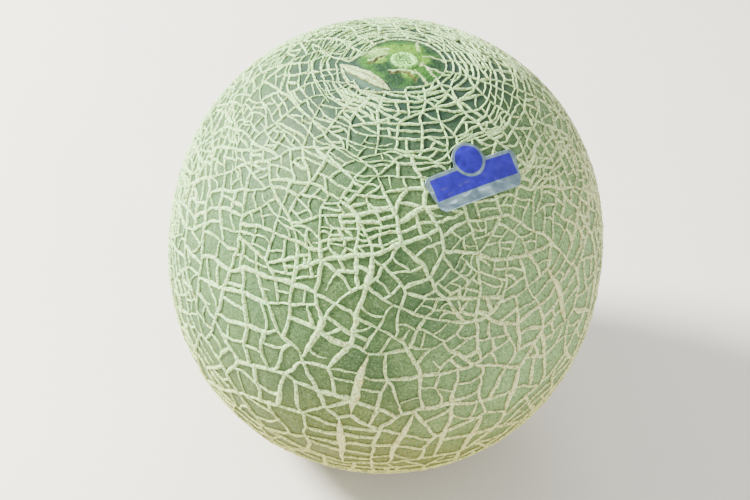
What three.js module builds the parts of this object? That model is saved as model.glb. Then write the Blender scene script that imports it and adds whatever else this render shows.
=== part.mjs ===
// A netted muskmelon standing on its blossom end, in millimetres, +Z up, origin under its middle.
// The fruit is one solid: an egg-round skin with a raised net of cork cords, a stem scar on top with a
// corky strip beside it, and a small flat spot below. The net follows the borders between cells. Their
// middles are placed round the stem end, along the cords that stand out, and by a seeded draw elsewhere.
// A thin blank label is bent over the net on the upper right.
import * as THREE from 'three';
import { ConvexHull } from 'three/addons/math/ConvexHull.js';

// Fruit, measured from the plane of its widest girth
const EQUATOR_RADIUS = 73;
const CROWN_HEIGHT = 78.8;
const BASE_DEPTH = 73.3;
const CROWN_ROUNDNESS = 2.19;
const BASE_ROUNDNESS = 2.13;
const REST_DEPTH = 72.6;
const REST_RADIUS = 13;
const REST_CELLS = 14;

// Net
const NET_HEIGHT = 0.8;
const CORD_HEIGHT_LEAST = 0.55;
const CORD_HEIGHT_PER_WIDTH = 0.15;
const SHORTEST_CORD = 1.9;
const THINNEST_SHARE = 0.8;
const THICKEST_SHARE = 1.25;
const SEED = 20260;

// Cells by latitude: how far apart their middles keep round the fruit and up it, and the cord width
const ZONES = [
  { latitude: -90, around: 8.5, upward: 8.5, width: 1.2 },
  { latitude: -60, around: 8.5, upward: 9.5, width: 1.4 },
  { latitude: -30, around: 8.2, upward: 11, width: 1.5 },
  { latitude: 0, around: 8.5, upward: 10, width: 1.4 },
  { latitude: 30, around: 8.6, upward: 7.4, width: 1.3 },
  { latitude: 60, around: 7.8, upward: 6, width: 1.05 },
  { latitude: 90, around: 7, upward: 4.5, width: 0.9 },
];

// Rows of cells round the stem end, whose borders make rings
const STEM_ROWS = [19.2, 23.2, 27.6, 32.2];
const STEM_ROW_SPACING = 6.8;
const STEM_ROW_LEAST_GAP = 3.7;
const STEM_ROW_SHIFT = 0.2;
const STEM_ROW_WANDER = 0.4;

// Stem end: the green patch and the round scar in its middle. The patch is round, but its border
// swings out along the corky strip. Both are given by the places where cells face the patch.
const PATCH_RADIUS = 13.2;
const PATCH_FIRST_BEARING = 17;
const PATCH_BEARING_STEP = 25;
const PATCH_CELLS = 10;
const PATCH_CELL_REACH = 2.1;
const PATCH_RIM_WIDTH = 0.9;
const STRIP_WIDTH = 4.2;
const STRIP_RISE = 0.3;
const STRIP_PATH = [
  { radius: 19, bearing: -88 },
  { radius: 16.6, bearing: -66 },
  { radius: 15.1, bearing: -45 },
  { radius: 15.1, bearing: -25 },
  { radius: 15.4, bearing: -7 },
];
const STEM_PROFILE = [
  { share: 0.9, height: 0 },
  { share: 0.66, height: 0.1 },
  { radius: 5.6, height: 0.3 },
  { radius: 4.7, height: 0.95 },
  { radius: 4.0, height: 1.0 },
  { radius: 3.3, height: 0.35 },
];
const SCAR_MIDDLE_HEIGHT = 0.5;

// Cords that stand out: latitude and longitude along them, and full width. The broad ones at the
// head of the list are corky fissures, flat on top and pointed at both ends.
const CORDS = [
  { width: 3.2, path: [[12, -2], [7, -3], [1, -4], [-5, -4], [-9, -3]] },
  { width: 3.0, path: [[-6, -7], [-13, -7], [-20, -6], [-26, -6]] },
  { width: 2.3, path: [[-8, 10], [-14, 8], [-18, 6], [-26, 8]] },
  { width: 2.3, path: [[-11, 29], [-17, 28], [-25, 28]] },
  { width: 2.5, path: [[3, 39], [-3, 38], [-11, 37]] },
  { width: 2.4, path: [[29, 50], [24, 52], [18, 54], [12, 55]] },
  { width: 2.0, path: [[23, -15], [18, -15], [14, -17]] },
  { width: 2.2, path: [[46, 32], [41, 31]] },
  { width: 2.8, path: [[4, -118], [-6, -120], [-18, -118], [-27, -119]] },
  { width: 2.6, path: [[-12, -96], [-20, -95], [-30, -97]] },
  { width: 3.0, path: [[8, 98], [-3, 100], [-14, 98]] },
  { width: 2.4, path: [[-20, 118], [-30, 116], [-38, 117]] },
  { width: 3.0, path: [[6, 160], [-4, 158], [-15, 159], [-22, 158]] },
  { width: 2.6, path: [[-16, -156], [-26, -158], [-35, -156]] },
  { width: 2.3, path: [[14, 136], [5, 135], [-4, 137]] },
  { width: 2.0, path: [[16, -9], [20, -7], [25, -5], [29, -2]] },
  { width: 1.5, path: [[12, -2], [17, -8]] },
  { width: 1.8, path: [[7, -13], [3, -14], [-2, -12], [-6, -10], [-9, -8]] },
  { width: 1.5, path: [[14, -14], [10, -12], [7, -9], [5, -4]] },
  { width: 1.7, path: [[14, -17], [11, -20], [8, -23], [3, -23], [-2, -23], [-7, -24]] },
  { width: 1.8, path: [[24, -40], [25, -34], [28, -27], [29, -18], [28, -13], [28, -8], [31, -4], [31, 0]] },
  { width: 1.3, path: [[22, -41], [23, -33], [22, -29], [22, -24], [24, -18], [24, -12], [21, -7]] },
  { width: 1.5, path: [[8, -41], [10, -33], [11, -27], [10, -21]] },
  { width: 1.8, path: [[17, -38], [13, -41], [8, -42], [3, -45], [0, -49]] },
  { width: 1.0, path: [[18, -38], [17, -34], [14, -27]] },
  { width: 1.5, path: [[22, -52], [21, -46], [25, -45], [29, -42]] },
  { width: 1.3, path: [[24, -40], [27, -36], [31, -32], [34, -28], [37, -26]] },
  { width: 1.8, path: [[38, -20], [33, -17], [32, -13], [30, -9]] },
  { width: 1.9, path: [[35, -14], [37, -11], [38, -6], [39, -1], [39, 3]] },
  { width: 1.8, path: [[35, -40], [37, -34], [37, -26], [38, -20]] },
  { width: 1.5, path: [[12, 5], [7, 6], [1, 7]] },
  { width: 1.8, path: [[3, 10], [-3, 10], [-8, 10]] },
  { width: 1.8, path: [[6, 28], [1, 28], [-3, 29]] },
  { width: 1.7, path: [[3, 20], [-2, 21], [-7, 21], [-11, 20], [-16, 19]] },
  { width: 1.7, path: [[20, 46], [11, 48], [5, 49], [-1, 49]] },
  { width: 1.9, path: [[40, 20], [39, 28], [37, 33], [34, 38], [31, 40], [33, 43], [34, 46], [33, 50]] },
  { width: 1.5, path: [[31, 40], [27, 41], [24, 43], [22, 46], [22, 50]] },
  { width: 1.6, path: [[29, 20], [29, 25], [28, 30], [26, 36], [22, 38], [18, 38], [13, 39]] },
  { width: 1.5, path: [[39, 3], [39, 10], [37, 13], [34, 15], [31, 16], [29, 20]] },
  { width: 1.5, path: [[34, 8], [37, 13], [40, 19]] },
  { width: 1.5, path: [[25, 6], [25, 11], [22, 16], [21, 20], [21, 26], [20, 32], [18, 37]] },
  { width: 1.4, path: [[21, -1], [21, 4], [19, 12], [17, 17], [15, 20], [12, 22], [8, 25], [6, 28]] },
  { width: 1.2, path: [[6, 15], [9, 19], [11, 24], [13, 29], [14, 34]] },
  { width: 1.2, path: [[9, 47], [7, 42], [6, 38]] },
  { width: 1.3, path: [[14, 37], [11, 37], [7, 37], [3, 39]] },
  { width: 1.5, path: [[43, -82], [48, -77], [50, -70], [50, -64]] },
  { width: 1.5, path: [[41, -76], [44, -70], [47, -64], [50, -60]] },
  { width: 1.4, path: [[33, -72], [34, -67], [40, -61], [44, -56]] },
  { width: 1.3, path: [[30, -58], [35, -50], [33, -44]] },
  { width: 1.4, path: [[44, -24], [45, -18], [45, -12], [48, -7], [49, -1]] },
  { width: 1.4, path: [[41, -15], [41, -9], [43, -4], [45, 1]] },
  { width: 1.7, path: [[45, 44], [41, 47], [36, 51], [32, 51]] },
  { width: 1.7, path: [[54, 62], [55, 67], [53, 73]] },
  { width: 1.7, path: [[36, 76], [34, 69], [29, 61]] },
];

// Label: a band, narrowing to its lower edge, with a round tab on its upper edge
const LABEL_LATITUDE = 54.3;
const LABEL_LONGITUDE = 33.6;
const LABEL_RISE = 3;
const LABEL_LENGTH = 31.2;
const LABEL_TAPER = 0.12;
const LABEL_HEIGHT = 11;
const LABEL_CORNER = 2.4;
const LABEL_TAB_RADIUS = 5.05;
const LABEL_TAB_ABOVE_MIDDLE = 6.3;
const LABEL_THICKNESS = 0.6;
const LABEL_GAP = 0.4;
const LABEL_COLUMNS = 28;
const LABEL_ROWS = 5;

const DEGREE = Math.PI / 180;
const MEAN_RADIUS = 74;

// Filling by a draw, and how cells flank a path: their distance from it and along it as shares of the
// zone's distances, and the least gap to others; fissures take closer cells
const FREE_TRIES = 60000;
const FISSURE_LEAST_WIDTH = 2.15;
const FISSURE_RIM_WIDTH = 1.2;
const FISSURE_STEP = 5;
const FISSURE_LEAST_GAP = 0.45;
const PATH_CELL_REACH = 0.42;
const PATH_CELL_STEP = 0.92;
const PATH_LEAST_GAP = 0.62;
const REST_CELL_REACH = 2.6;
const LENS_TIP_SHARE = 0.25;

// Borders of the two round areas, and the corky strip, as paths that the net follows
const REST_RIM = { width: PATCH_RIM_WIDTH };
const PATCH_RIM = { width: PATCH_RIM_WIDTH };
const STRIP = { width: STRIP_WIDTH, rimWidth: PATCH_RIM_WIDTH };

// Seeded draw of numbers from 0 to 1
let drawState = SEED;
function draw() {
  drawState = (drawState + 0x6d2b79f5) >>> 0;
  let mixed = drawState;
  mixed = Math.imul(mixed ^ (mixed >>> 15), mixed | 1);
  mixed ^= mixed + Math.imul(mixed ^ (mixed >>> 7), mixed | 61);
  return ((mixed ^ (mixed >>> 14)) >>> 0) / 4294967296;
}

function drawBetween(low, high) {
  return low + (high - low) * draw();
}

// Distance from the middle of the girth to the smooth skin, along a unit direction
function skinDistance(direction) {
  const upper = direction.z >= 0;
  const roundness = upper ? CROWN_ROUNDNESS : BASE_ROUNDNESS;
  const halfHeight = (upper ? CROWN_HEIGHT : BASE_DEPTH) - NET_HEIGHT;
  const across = Math.hypot(direction.x, direction.y) / (EQUATOR_RADIUS - NET_HEIGHT);
  const along = Math.abs(direction.z) / halfHeight;
  return (across ** roundness + along ** roundness) ** (-1 / roundness);
}

function overSkin(direction, height) {
  return direction.clone().multiplyScalar(skinDistance(direction) + height);
}

function cordHeight(width) {
  return CORD_HEIGHT_LEAST + CORD_HEIGHT_PER_WIDTH * width;
}

// Unit direction of a latitude and longitude; longitude 0 faces -Y and grows towards +X
function toward(latitude, longitude) {
  const flat = Math.cos(latitude * DEGREE);
  return new THREE.Vector3(
    flat * Math.sin(longitude * DEGREE),
    -flat * Math.cos(longitude * DEGREE),
    Math.sin(latitude * DEGREE),
  );
}

// Unit direction of the skin at a level radius from the axis, at the crown
function crownDirection(radius, longitude) {
  const height = CROWN_HEIGHT * (1 - (radius / EQUATOR_RADIUS) ** CROWN_ROUNDNESS) ** (1 / CROWN_ROUNDNESS);
  return new THREE.Vector3(
    radius * Math.sin(longitude * DEGREE),
    -radius * Math.cos(longitude * DEGREE),
    height,
  ).normalize();
}

// Unit direction of the skin at a level radius from the axis, near the blossom end
function baseDirection(radius, longitude) {
  const depth = radius > REST_RADIUS
    ? BASE_DEPTH * (1 - (radius / EQUATOR_RADIUS) ** BASE_ROUNDNESS) ** (1 / BASE_ROUNDNESS)
    : REST_DEPTH;
  return new THREE.Vector3(
    radius * Math.sin(longitude * DEGREE),
    -radius * Math.cos(longitude * DEGREE),
    -depth,
  ).normalize();
}

function bearingOf(direction) {
  return Math.atan2(direction.x, -direction.y) / DEGREE;
}

function latitudeOf(direction) {
  return Math.asin(THREE.MathUtils.clamp(direction.z, -1, 1)) / DEGREE;
}

function zoneAt(direction) {
  const latitude = latitudeOf(direction);
  const above = Math.max(1, ZONES.findIndex((zone) => zone.latitude >= latitude));
  const low = ZONES[above - 1];
  const high = ZONES[above];
  const share = (latitude - low.latitude) / (high.latitude - low.latitude);
  return {
    around: THREE.MathUtils.lerp(low.around, high.around, share),
    upward: THREE.MathUtils.lerp(low.upward, high.upward, share),
    width: THREE.MathUtils.lerp(low.width, high.width, share),
  };
}

function span(first, second) {
  return first.distanceTo(second) * MEAN_RADIUS;
}

// East and north at a direction
function compassAt(direction) {
  const east = new THREE.Vector3(-direction.y, direction.x, 0).normalize();
  const north = new THREE.Vector3().crossVectors(direction, east);
  return { east, north };
}

function moved(direction, heading, length) {
  const angle = length / MEAN_RADIUS;
  return direction.clone().multiplyScalar(Math.cos(angle)).addScaledVector(heading, Math.sin(angle));
}

// The cells of the net as their middles. A middle may belong to an area that is one face, and to a
// side of a path: the border between the two sides of a path is the cord laid along that path.
class CellPlan {
  constructor() {
    this.middles = [];
  }

  add(direction, area = null, path = null, side = 0) {
    this.middles.push({ direction: direction.clone().normalize(), area, path, side });
  }

  // Whether a place keeps a share of the zone's distances to every middle that is there
  isFree(direction, share) {
    const { east, north } = compassAt(direction);
    const { around, upward } = zoneAt(direction);
    return this.middles.every((middle) => {
      const eastward = (middle.direction.dot(east) * MEAN_RADIUS) / around;
      const northward = (middle.direction.dot(north) * MEAN_RADIUS) / upward;
      return middle.direction.dot(direction) < 0 || Math.hypot(eastward, northward) > share;
    });
  }

  keepsGap(direction, gap) {
    return this.middles.every((middle) => span(middle.direction, direction) > gap);
  }

  // Cells on both sides of a path, facing each other across it
  flank(points, path) {
    for (let index = 0; index < points.length; index += 1) {
      const here = points[index];
      const run = points[Math.min(index + 1, points.length - 1)].clone()
        .sub(points[Math.max(index - 1, 0)]).normalize();
      const side = new THREE.Vector3().crossVectors(here, run).normalize();
      const { around, upward } = zoneAt(here);
      const reach = PATH_CELL_REACH * Math.min(around, upward);
      const left = moved(here, side, reach);
      const right = moved(here, side.clone().negate(), reach);
      const gap = path.width >= FISSURE_LEAST_WIDTH ? FISSURE_LEAST_GAP : PATH_LEAST_GAP;
      if (!this.isFree(left, gap) || !this.isFree(right, gap)) continue;
      this.add(left, null, path, 1);
      this.add(right, null, path, -1);
    }
  }

  // Fills what is left with cells at random, as close as the zones let them be
  fill() {
    const highest = crownDirection(PATCH_RADIUS, 0).z;
    const lowest = baseDirection(REST_RADIUS, 0).z;
    for (let attempt = 0; attempt < FREE_TRIES; attempt += 1) {
      const height = drawBetween(lowest, highest);
      const turn = drawBetween(0, 2 * Math.PI);
      const flat = Math.sqrt(1 - height * height);
      const place = new THREE.Vector3(flat * Math.cos(turn), flat * Math.sin(turn), height);
      if (this.isFree(place, 1)) this.add(place);
    }
  }
}

// A smooth run of directions through hand-placed latitudes and longitudes, a cell's length apart
function pathPoints({ path, width }) {
  const curve = new THREE.CatmullRomCurve3(path.map(([latitude, longitude]) => toward(latitude, longitude)));
  const length = curve.getLength() * MEAN_RADIUS;
  const { around, upward } = zoneAt(curve.getPoint(0.5).normalize());
  const step = width >= FISSURE_LEAST_WIDTH ? FISSURE_STEP : PATH_CELL_STEP * Math.min(around, upward);
  const steps = Math.max(1, Math.round(length / step));
  const shares = Array.from({ length: steps }, (unused, order) => (order + 0.5) / steps);
  return shares.map((share) => curve.getPointAt(share).normalize());
}

function planCells() {
  const plan = new CellPlan();
  const facePatch = (radius, bearing, path) => {
    plan.add(crownDirection(radius - PATCH_CELL_REACH, bearing), 'patch', path, 1);
    plan.add(crownDirection(radius + PATCH_CELL_REACH, bearing), null, path, -1);
  };
  for (const { radius, bearing } of STRIP_PATH) facePatch(radius, bearing, STRIP);
  for (let cell = 0; cell < PATCH_CELLS; cell += 1) {
    facePatch(PATCH_RADIUS, PATCH_FIRST_BEARING + PATCH_BEARING_STEP * cell, PATCH_RIM);
  }
  for (let cell = 0; cell < REST_CELLS; cell += 1) {
    const bearing = (360 * cell) / REST_CELLS;
    plan.add(baseDirection(REST_RADIUS - REST_CELL_REACH, bearing), 'rest', REST_RIM, 1);
    plan.add(baseDirection(REST_RADIUS + REST_CELL_REACH, bearing), null, REST_RIM, -1);
  }
  plan.add(new THREE.Vector3(0, 0, 1), 'patch');
  plan.add(new THREE.Vector3(0, 0, -1), 'rest');
  for (const radius of STEM_ROWS) {
    const count = Math.round((2 * Math.PI * radius) / STEM_ROW_SPACING);
    const start = drawBetween(0, 360);
    for (let cell = 0; cell < count; cell += 1) {
      const bearing = start + ((cell + drawBetween(-STEM_ROW_SHIFT, STEM_ROW_SHIFT)) * 360) / count;
      const place = crownDirection(radius + drawBetween(-STEM_ROW_WANDER, STEM_ROW_WANDER), bearing);
      if (plan.keepsGap(place, STEM_ROW_LEAST_GAP)) plan.add(place);
    }
  }
  CORDS.forEach((cord) => plan.flank(pathPoints(cord), cord));
  plan.fill();
  return plan;
}

// The net as points on the unit sphere, joined by cords: the borders between the planned cells
class CordNet {
  constructor(plan) {
    this.points = [];
    this.cords = [];
    const hull = new ConvexHull().setFromPoints(plan.middles.map((middle) => middle.direction));
    const owner = new Map(plan.middles.map((middle) => [middle.direction, middle]));
    const corner = new Map();
    for (const face of hull.faces) {
      corner.set(face, this.points.length);
      this.points.push(face.normal.clone().normalize());
    }
    for (const face of hull.faces) {
      for (const edge of [face.edge, face.edge.next, face.edge.next.next]) {
        const a = corner.get(face);
        const b = corner.get(edge.twin.face);
        const first = owner.get(edge.tail().point);
        const second = owner.get(edge.head().point);
        if (a > b || (first.area !== null && first.area === second.area)) continue;
        const path = first.path === second.path && first.side * second.side < 0 ? first.path : null;
        this.cords.push({ a, b, path, width: 0 });
      }
    }
  }

  cordsAt() {
    const lists = this.points.map(() => []);
    for (const cord of this.cords) {
      lists[cord.a].push(cord);
      lists[cord.b].push(cord);
    }
    return lists;
  }

  // Draws the two ends of each very short cord together, and the clusters that this makes
  mergeShort() {
    const LARGEST_CLUSTER = 3;
    const cluster = this.points.map((unused, index) => [index]);
    const length = (cord) => span(this.points[cord.a], this.points[cord.b]);
    const short = this.cords.filter((cord) => length(cord) < SHORTEST_CORD);
    short.sort((one, two) => length(one) - length(two));
    for (const cord of short) {
      const first = cluster[cord.a];
      const second = cluster[cord.b];
      if (first === second || first.length + second.length > LARGEST_CLUSTER) continue;
      first.push(...second);
      second.forEach((index) => { cluster[index] = first; });
    }
    const middles = cluster.map((members) => {
      const sum = new THREE.Vector3();
      members.forEach((index) => sum.add(this.points[index]));
      return sum.normalize();
    });
    const joined = new Map();
    for (const cord of this.cords) {
      const a = cluster[cord.a][0];
      const b = cluster[cord.b][0];
      const key = a < b ? `${a} ${b}` : `${b} ${a}`;
      if (a !== b && !joined.has(key)) joined.set(key, { a, b, path: cord.path, width: 0 });
    }
    this.points = middles;
    this.cords = [...joined.values()];
  }

  setWidths() {
    for (const cord of this.cords) {
      const zone = zoneAt(this.points[cord.a]);
      cord.width = cord.path ? cord.path.width : zone.width * drawBetween(THINNEST_SHARE, THICKEST_SHARE);
    }
  }

  // The points along the cords of a path, in order, or null where they aren't one plain run
  pathRun(path) {
    const own = this.cords.filter((cord) => cord.path === path);
    const ends = new Map();
    for (const cord of own) {
      for (const [from, to] of [[cord.a, cord.b], [cord.b, cord.a]]) {
        if (!ends.has(from)) ends.set(from, []);
        ends.get(from).push(to);
      }
    }
    const tips = [...ends.keys()].filter((index) => ends.get(index).length === 1);
    if (tips.length !== 2 || own.length < 2) return null;
    const run = [tips[0]];
    let next = ends.get(tips[0])[0];
    while (next !== undefined) {
      run.push(next);
      next = ends.get(next).find((index) => !run.includes(index));
    }
    return run.length === ends.size ? run : null;
  }

  // Opens the cords of a path into a lens with two edges and a tip at each end, which is one face
  widen(path) {
    const run = this.pathRun(path);
    if (run === null) return null;
    const lists = this.cordsAt();
    const right = run.slice();
    for (let order = 1; order < run.length - 1; order += 1) {
      const index = run[order];
      const here = this.points[index];
      const forward = this.points[run[order + 1]].clone().sub(this.points[run[order - 1]]).normalize();
      const left = new THREE.Vector3().crossVectors(here, forward);
      const swell = Math.min(1, LENS_TIP_SHARE + Math.sin((Math.PI * order) / (run.length - 1)));
      const reach = (swell * path.width) / 2;
      const copy = this.points.length;
      this.points.push(moved(here, left.clone().negate(), reach));
      this.points[index] = moved(here, left, reach);
      right[order] = copy;
      for (const cord of lists[index]) {
        const other = cord.a === index ? cord.b : cord.a;
        if (cord.path === path || this.points[other].clone().sub(here).dot(left) > 0) continue;
        if (cord.a === index) cord.a = copy;
        else cord.b = copy;
      }
    }
    const rim = { ...path, width: path.rimWidth ?? FISSURE_RIM_WIDTH };
    this.cords.forEach((cord) => { if (cord.path === path) cord.width = rim.width; });
    for (let order = 0; order < run.length - 1; order += 1) {
      this.cords.push({ a: right[order], b: right[order + 1], path: rim, width: rim.width });
    }
    return new Set([...run, ...right]);
  }

  // Rounds a ring of cords: a new point in the middle of each, and all of them at one radius
  roundRing(path, placeAt) {
    for (const cord of this.cords.filter((other) => other.path === path)) {
      for (const index of [cord.a, cord.b]) this.points[index] = placeAt(this.points[index]);
      const between = this.points[cord.a].clone().add(this.points[cord.b]).normalize();
      this.points.push(placeAt(between));
      const middle = this.points.length - 1;
      this.cords.push({ ...cord, a: middle });
      cord.b = middle;
    }
  }

  // Every cell as a ring of points, counter-clockwise from outside
  cells() {
    const lists = this.cordsAt();
    const around = lists.map((list, index) => {
      const { east, north } = compassAt(this.points[index]);
      const neighbours = list.map((cord) => (cord.a === index ? cord.b : cord.a));
      const bearing = (other) => {
        const run = this.points[other].clone().sub(this.points[index]);
        return Math.atan2(run.dot(north), run.dot(east));
      };
      return neighbours.sort((one, two) => bearing(one) - bearing(two));
    });
    const seen = new Set();
    const rings = [];
    for (const cord of this.cords) {
      for (const [first, second] of [[cord.a, cord.b], [cord.b, cord.a]]) {
        if (seen.has(`${first} ${second}`)) continue;
        const ring = [];
        let from = first;
        let to = second;
        while (!seen.has(`${from} ${to}`)) {
          seen.add(`${from} ${to}`);
          ring.push(from);
          const turn = around[to];
          const next = turn[(turn.indexOf(from) + turn.length - 1) % turn.length];
          from = to;
          to = next;
        }
        rings.push(ring);
      }
    }
    return rings;
  }

  widths() {
    const between = new Map();
    for (const { a, b, width } of this.cords) {
      between.set(`${a} ${b}`, width);
      between.set(`${b} ${a}`, width);
    }
    return between;
  }
}

function buildNet() {
  const net = new CordNet(planCells());
  net.mergeShort();
  net.setWidths();
  const restPlace = (point) => baseDirection(REST_RADIUS, bearingOf(point));
  const patchPlace = (point) => crownDirection(PATCH_RADIUS, bearingOf(point));
  net.roundRing(REST_RIM, restPlace);
  net.roundRing(PATCH_RIM, patchPlace);
  const wide = CORDS.filter((cord) => cord.width >= FISSURE_LEAST_WIDTH);
  const lenses = wide.map((cord) => net.widen(cord)).filter((lens) => lens !== null);
  const strip = net.widen(STRIP);
  return { net, lenses, strip };
}

// Flat map of a cell, seen from outside, with its middle at the origin
function flatMap(directions) {
  const middle = new THREE.Vector3();
  directions.forEach((direction) => middle.add(direction));
  middle.normalize();
  const { east, north } = compassAt(middle);
  return {
    middle,
    toFlat: (direction) => new THREE.Vector2(direction.dot(east), direction.dot(north))
      .multiplyScalar(MEAN_RADIUS / direction.dot(middle)),
    toDirection: (flat) => middle.clone()
      .addScaledVector(east, flat.x / MEAN_RADIUS)
      .addScaledVector(north, flat.y / MEAN_RADIUS)
      .normalize(),
  };
}

function turnOf(first, second, third) {
  return (second.x - first.x) * (third.y - first.y) - (second.y - first.y) * (third.x - first.x);
}

// Corner of the foot of two slopes that start on the sides before and after a corner
function footCorner(before, corner, after, insetBefore, insetAfter) {
  const inward = (from, to) => new THREE.Vector2(from.y - to.y, to.x - from.x).normalize();
  const first = inward(before, corner);
  const second = inward(corner, after);
  const spread = 1 + first.dot(second);
  const LEAST_SPREAD = 0.12;
  if (spread < LEAST_SPREAD) return null;
  const across = first.x * second.y - first.y * second.x;
  const NEARLY_STRAIGHT = 0.05;
  if (Math.abs(across) < NEARLY_STRAIGHT) {
    return corner.clone().addScaledVector(first.add(second).normalize(), (insetBefore + insetAfter) / 2);
  }
  const x = (insetBefore * second.y - insetAfter * first.y) / across;
  const y = (insetAfter * first.x - insetBefore * second.x) / across;
  return new THREE.Vector2(corner.x + x, corner.y + y);
}

function runsCross(a, b, c, d) {
  return turnOf(a, b, c) * turnOf(a, b, d) < 0 && turnOf(c, d, a) * turnOf(c, d, b) < 0;
}

// The foot of the slopes inside a cell, or null where the cell is too narrow for them
function footRing(ring, insets) {
  const LEAST_AREA = 0.02;
  const count = ring.length;
  const foot = ring.map((corner, index) => {
    const before = (index + count - 1) % count;
    return footCorner(ring[before], corner, ring[(index + 1) % count], insets[before], insets[index]);
  });
  if (foot.some((corner) => corner === null)) return null;
  for (let index = 0; index < count; index += 1) {
    const next = (index + 1) % count;
    if (turnOf(ring[index], ring[next], foot[next]) < LEAST_AREA) return null;
    if (turnOf(ring[index], foot[next], foot[index]) < LEAST_AREA) return null;
    for (let other = index + 2; other < count; other += 1) {
      if ((other + 1) % count === index) continue;
      if (runsCross(foot[index], foot[next], foot[other], foot[(other + 1) % count])) return null;
    }
  }
  return foot;
}

// A cell's ring drawn in towards its middle, or null where the middle doesn't see all of it
function shrunkRing(ring) {
  const KEPT = 0.86;
  const LEAST_AREA = 0.02;
  const middle = new THREE.Vector2();
  ring.forEach((corner) => middle.add(corner));
  middle.divideScalar(ring.length);
  const seen = ring.every((corner, index) => (
    turnOf(middle, corner, ring[(index + 1) % ring.length]) > LEAST_AREA / (1 - KEPT)));
  return seen ? ring.map((corner) => corner.clone().lerp(middle, 1 - KEPT)) : null;
}

// Collects the triangles of the fruit
class Surface {
  constructor() {
    this.positions = [];
    this.triangles = [];
  }

  add(position) {
    this.positions.push(position.x, position.y, position.z);
    return this.positions.length / 3 - 1;
  }

  face(a, b, c) {
    this.triangles.push(a, b, c);
  }

  band(outer, inner) {
    outer.forEach((first, index) => {
      const next = (index + 1) % outer.length;
      this.face(first, outer[next], inner[next]);
      this.face(first, inner[next], inner[index]);
    });
  }

  // Fills a flat ring of points, given their indices and their places on a flat map
  fill(indices, flat) {
    const corners = THREE.ShapeUtils.triangulateShape(flat, []);
    if (corners.length !== indices.length - 2) throw new Error('a cell floor lost a corner');
    for (const [a, b, c] of corners) {
      const forward = turnOf(flat[a], flat[b], flat[c]) > 0;
      this.face(indices[a], indices[forward ? b : c], indices[forward ? c : b]);
    }
  }

  geometry() {
    const geometry = new THREE.BufferGeometry();
    geometry.setAttribute('position', new THREE.Float32BufferAttribute(this.positions, 3));
    geometry.setIndex(this.triangles);
    geometry.computeVertexNormals();
    return geometry;
  }
}

// Stem patch and scar: rings that step down from the patch's border to the middle of the scar
function addStemEnd(surface, rim, directions) {
  const reach = directions.map((direction) => ({
    radius: Math.hypot(direction.x, direction.y) * skinDistance(direction),
    bearing: bearingOf(direction),
  }));
  let outer = rim;
  for (const step of STEM_PROFILE) {
    const inner = reach.map(({ radius, bearing }) => {
      const place = crownDirection(step.radius ?? radius * step.share, bearing);
      return surface.add(overSkin(place, step.height));
    });
    surface.band(outer, inner);
    outer = inner;
  }
  const middle = surface.add(overSkin(new THREE.Vector3(0, 0, 1), SCAR_MIDDLE_HEIGHT));
  outer.forEach((index, order) => surface.face(index, outer[(order + 1) % outer.length], middle));
}

// The slopes and the floor of a cell, or a raised top on the corky strip
function addCell(surface, crestRing, flat, map, insets, height) {
  const SHARES = [1, 0.85, 0.7, 0.55, 0.4];
  let foot = null;
  for (const share of SHARES) {
    foot ??= footRing(flat, insets.map((inset) => inset * share));
  }
  foot ??= shrunkRing(flat);
  if (foot === null) {
    surface.fill(crestRing, flat);
    return;
  }
  const footIndices = foot.map((corner) => surface.add(overSkin(map.toDirection(corner), height)));
  surface.band(crestRing, footIndices);
  surface.fill(footIndices, foot);
}

function fruitGeometry() {
  const { net, lenses, strip } = buildNet();
  const surface = new Surface();
  const widest = net.points.map(() => 0);
  for (const cord of net.cords) {
    widest[cord.a] = Math.max(widest[cord.a], cord.width);
    widest[cord.b] = Math.max(widest[cord.b], cord.width);
  }
  const onRest = new Set(net.cords.filter((cord) => cord.path === REST_RIM).flatMap(({ a, b }) => [a, b]));
  const crest = net.points.map((point, index) => {
    if (widest[index] === 0) return -1;
    if (onRest.has(index)) return surface.add(point.clone().multiplyScalar(-REST_DEPTH / point.z));
    return surface.add(overSkin(point, cordHeight(widest[index])));
  });
  const widths = net.widths();
  for (const ring of net.cells()) {
    const crestRing = ring.map((index) => crest[index]);
    const directions = ring.map((index) => net.points[index]);
    const map = flatMap(directions);
    const flat = directions.map(map.toFlat);
    const isAll = (set) => ring.every((index) => set.has(index));
    const crown = new THREE.Vector3(0, 0, 1);
    if (map.middle.dot(crown) > Math.cos(PATCH_RADIUS / 2 / MEAN_RADIUS)) {
      addStemEnd(surface, crestRing, directions);
    } else if (isAll(onRest) || lenses.some(isAll)) {
      surface.fill(crestRing, flat);
    } else if (strip !== null && isAll(strip)) {
      const insets = ring.map(() => PATCH_RIM_WIDTH / 2);
      addCell(surface, crestRing, flat, map, insets, cordHeight(PATCH_RIM_WIDTH) + STRIP_RISE);
    } else {
      const insets = ring.map((index, order) => (
        widths.get(`${index} ${ring[(order + 1) % ring.length]}`) / 2));
      addCell(surface, crestRing, flat, map, insets, 0);
    }
  }
  return surface.geometry();
}

// Lower and upper edge of the label at a distance along it
function labelEdges(along) {
  const half = LABEL_HEIGHT / 2;
  const past = Math.max(0, Math.abs(along) - (LABEL_LENGTH / 2 - LABEL_CORNER));
  const drop = LABEL_CORNER - Math.sqrt(Math.max(0, LABEL_CORNER ** 2 - past ** 2));
  const tab = LABEL_TAB_RADIUS ** 2 - along ** 2;
  const tabTop = tab > 0 ? LABEL_TAB_ABOVE_MIDDLE + Math.sqrt(tab) : -half;
  return { lower: drop - half, upper: Math.max(half - drop, tabTop) };
}

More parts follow.
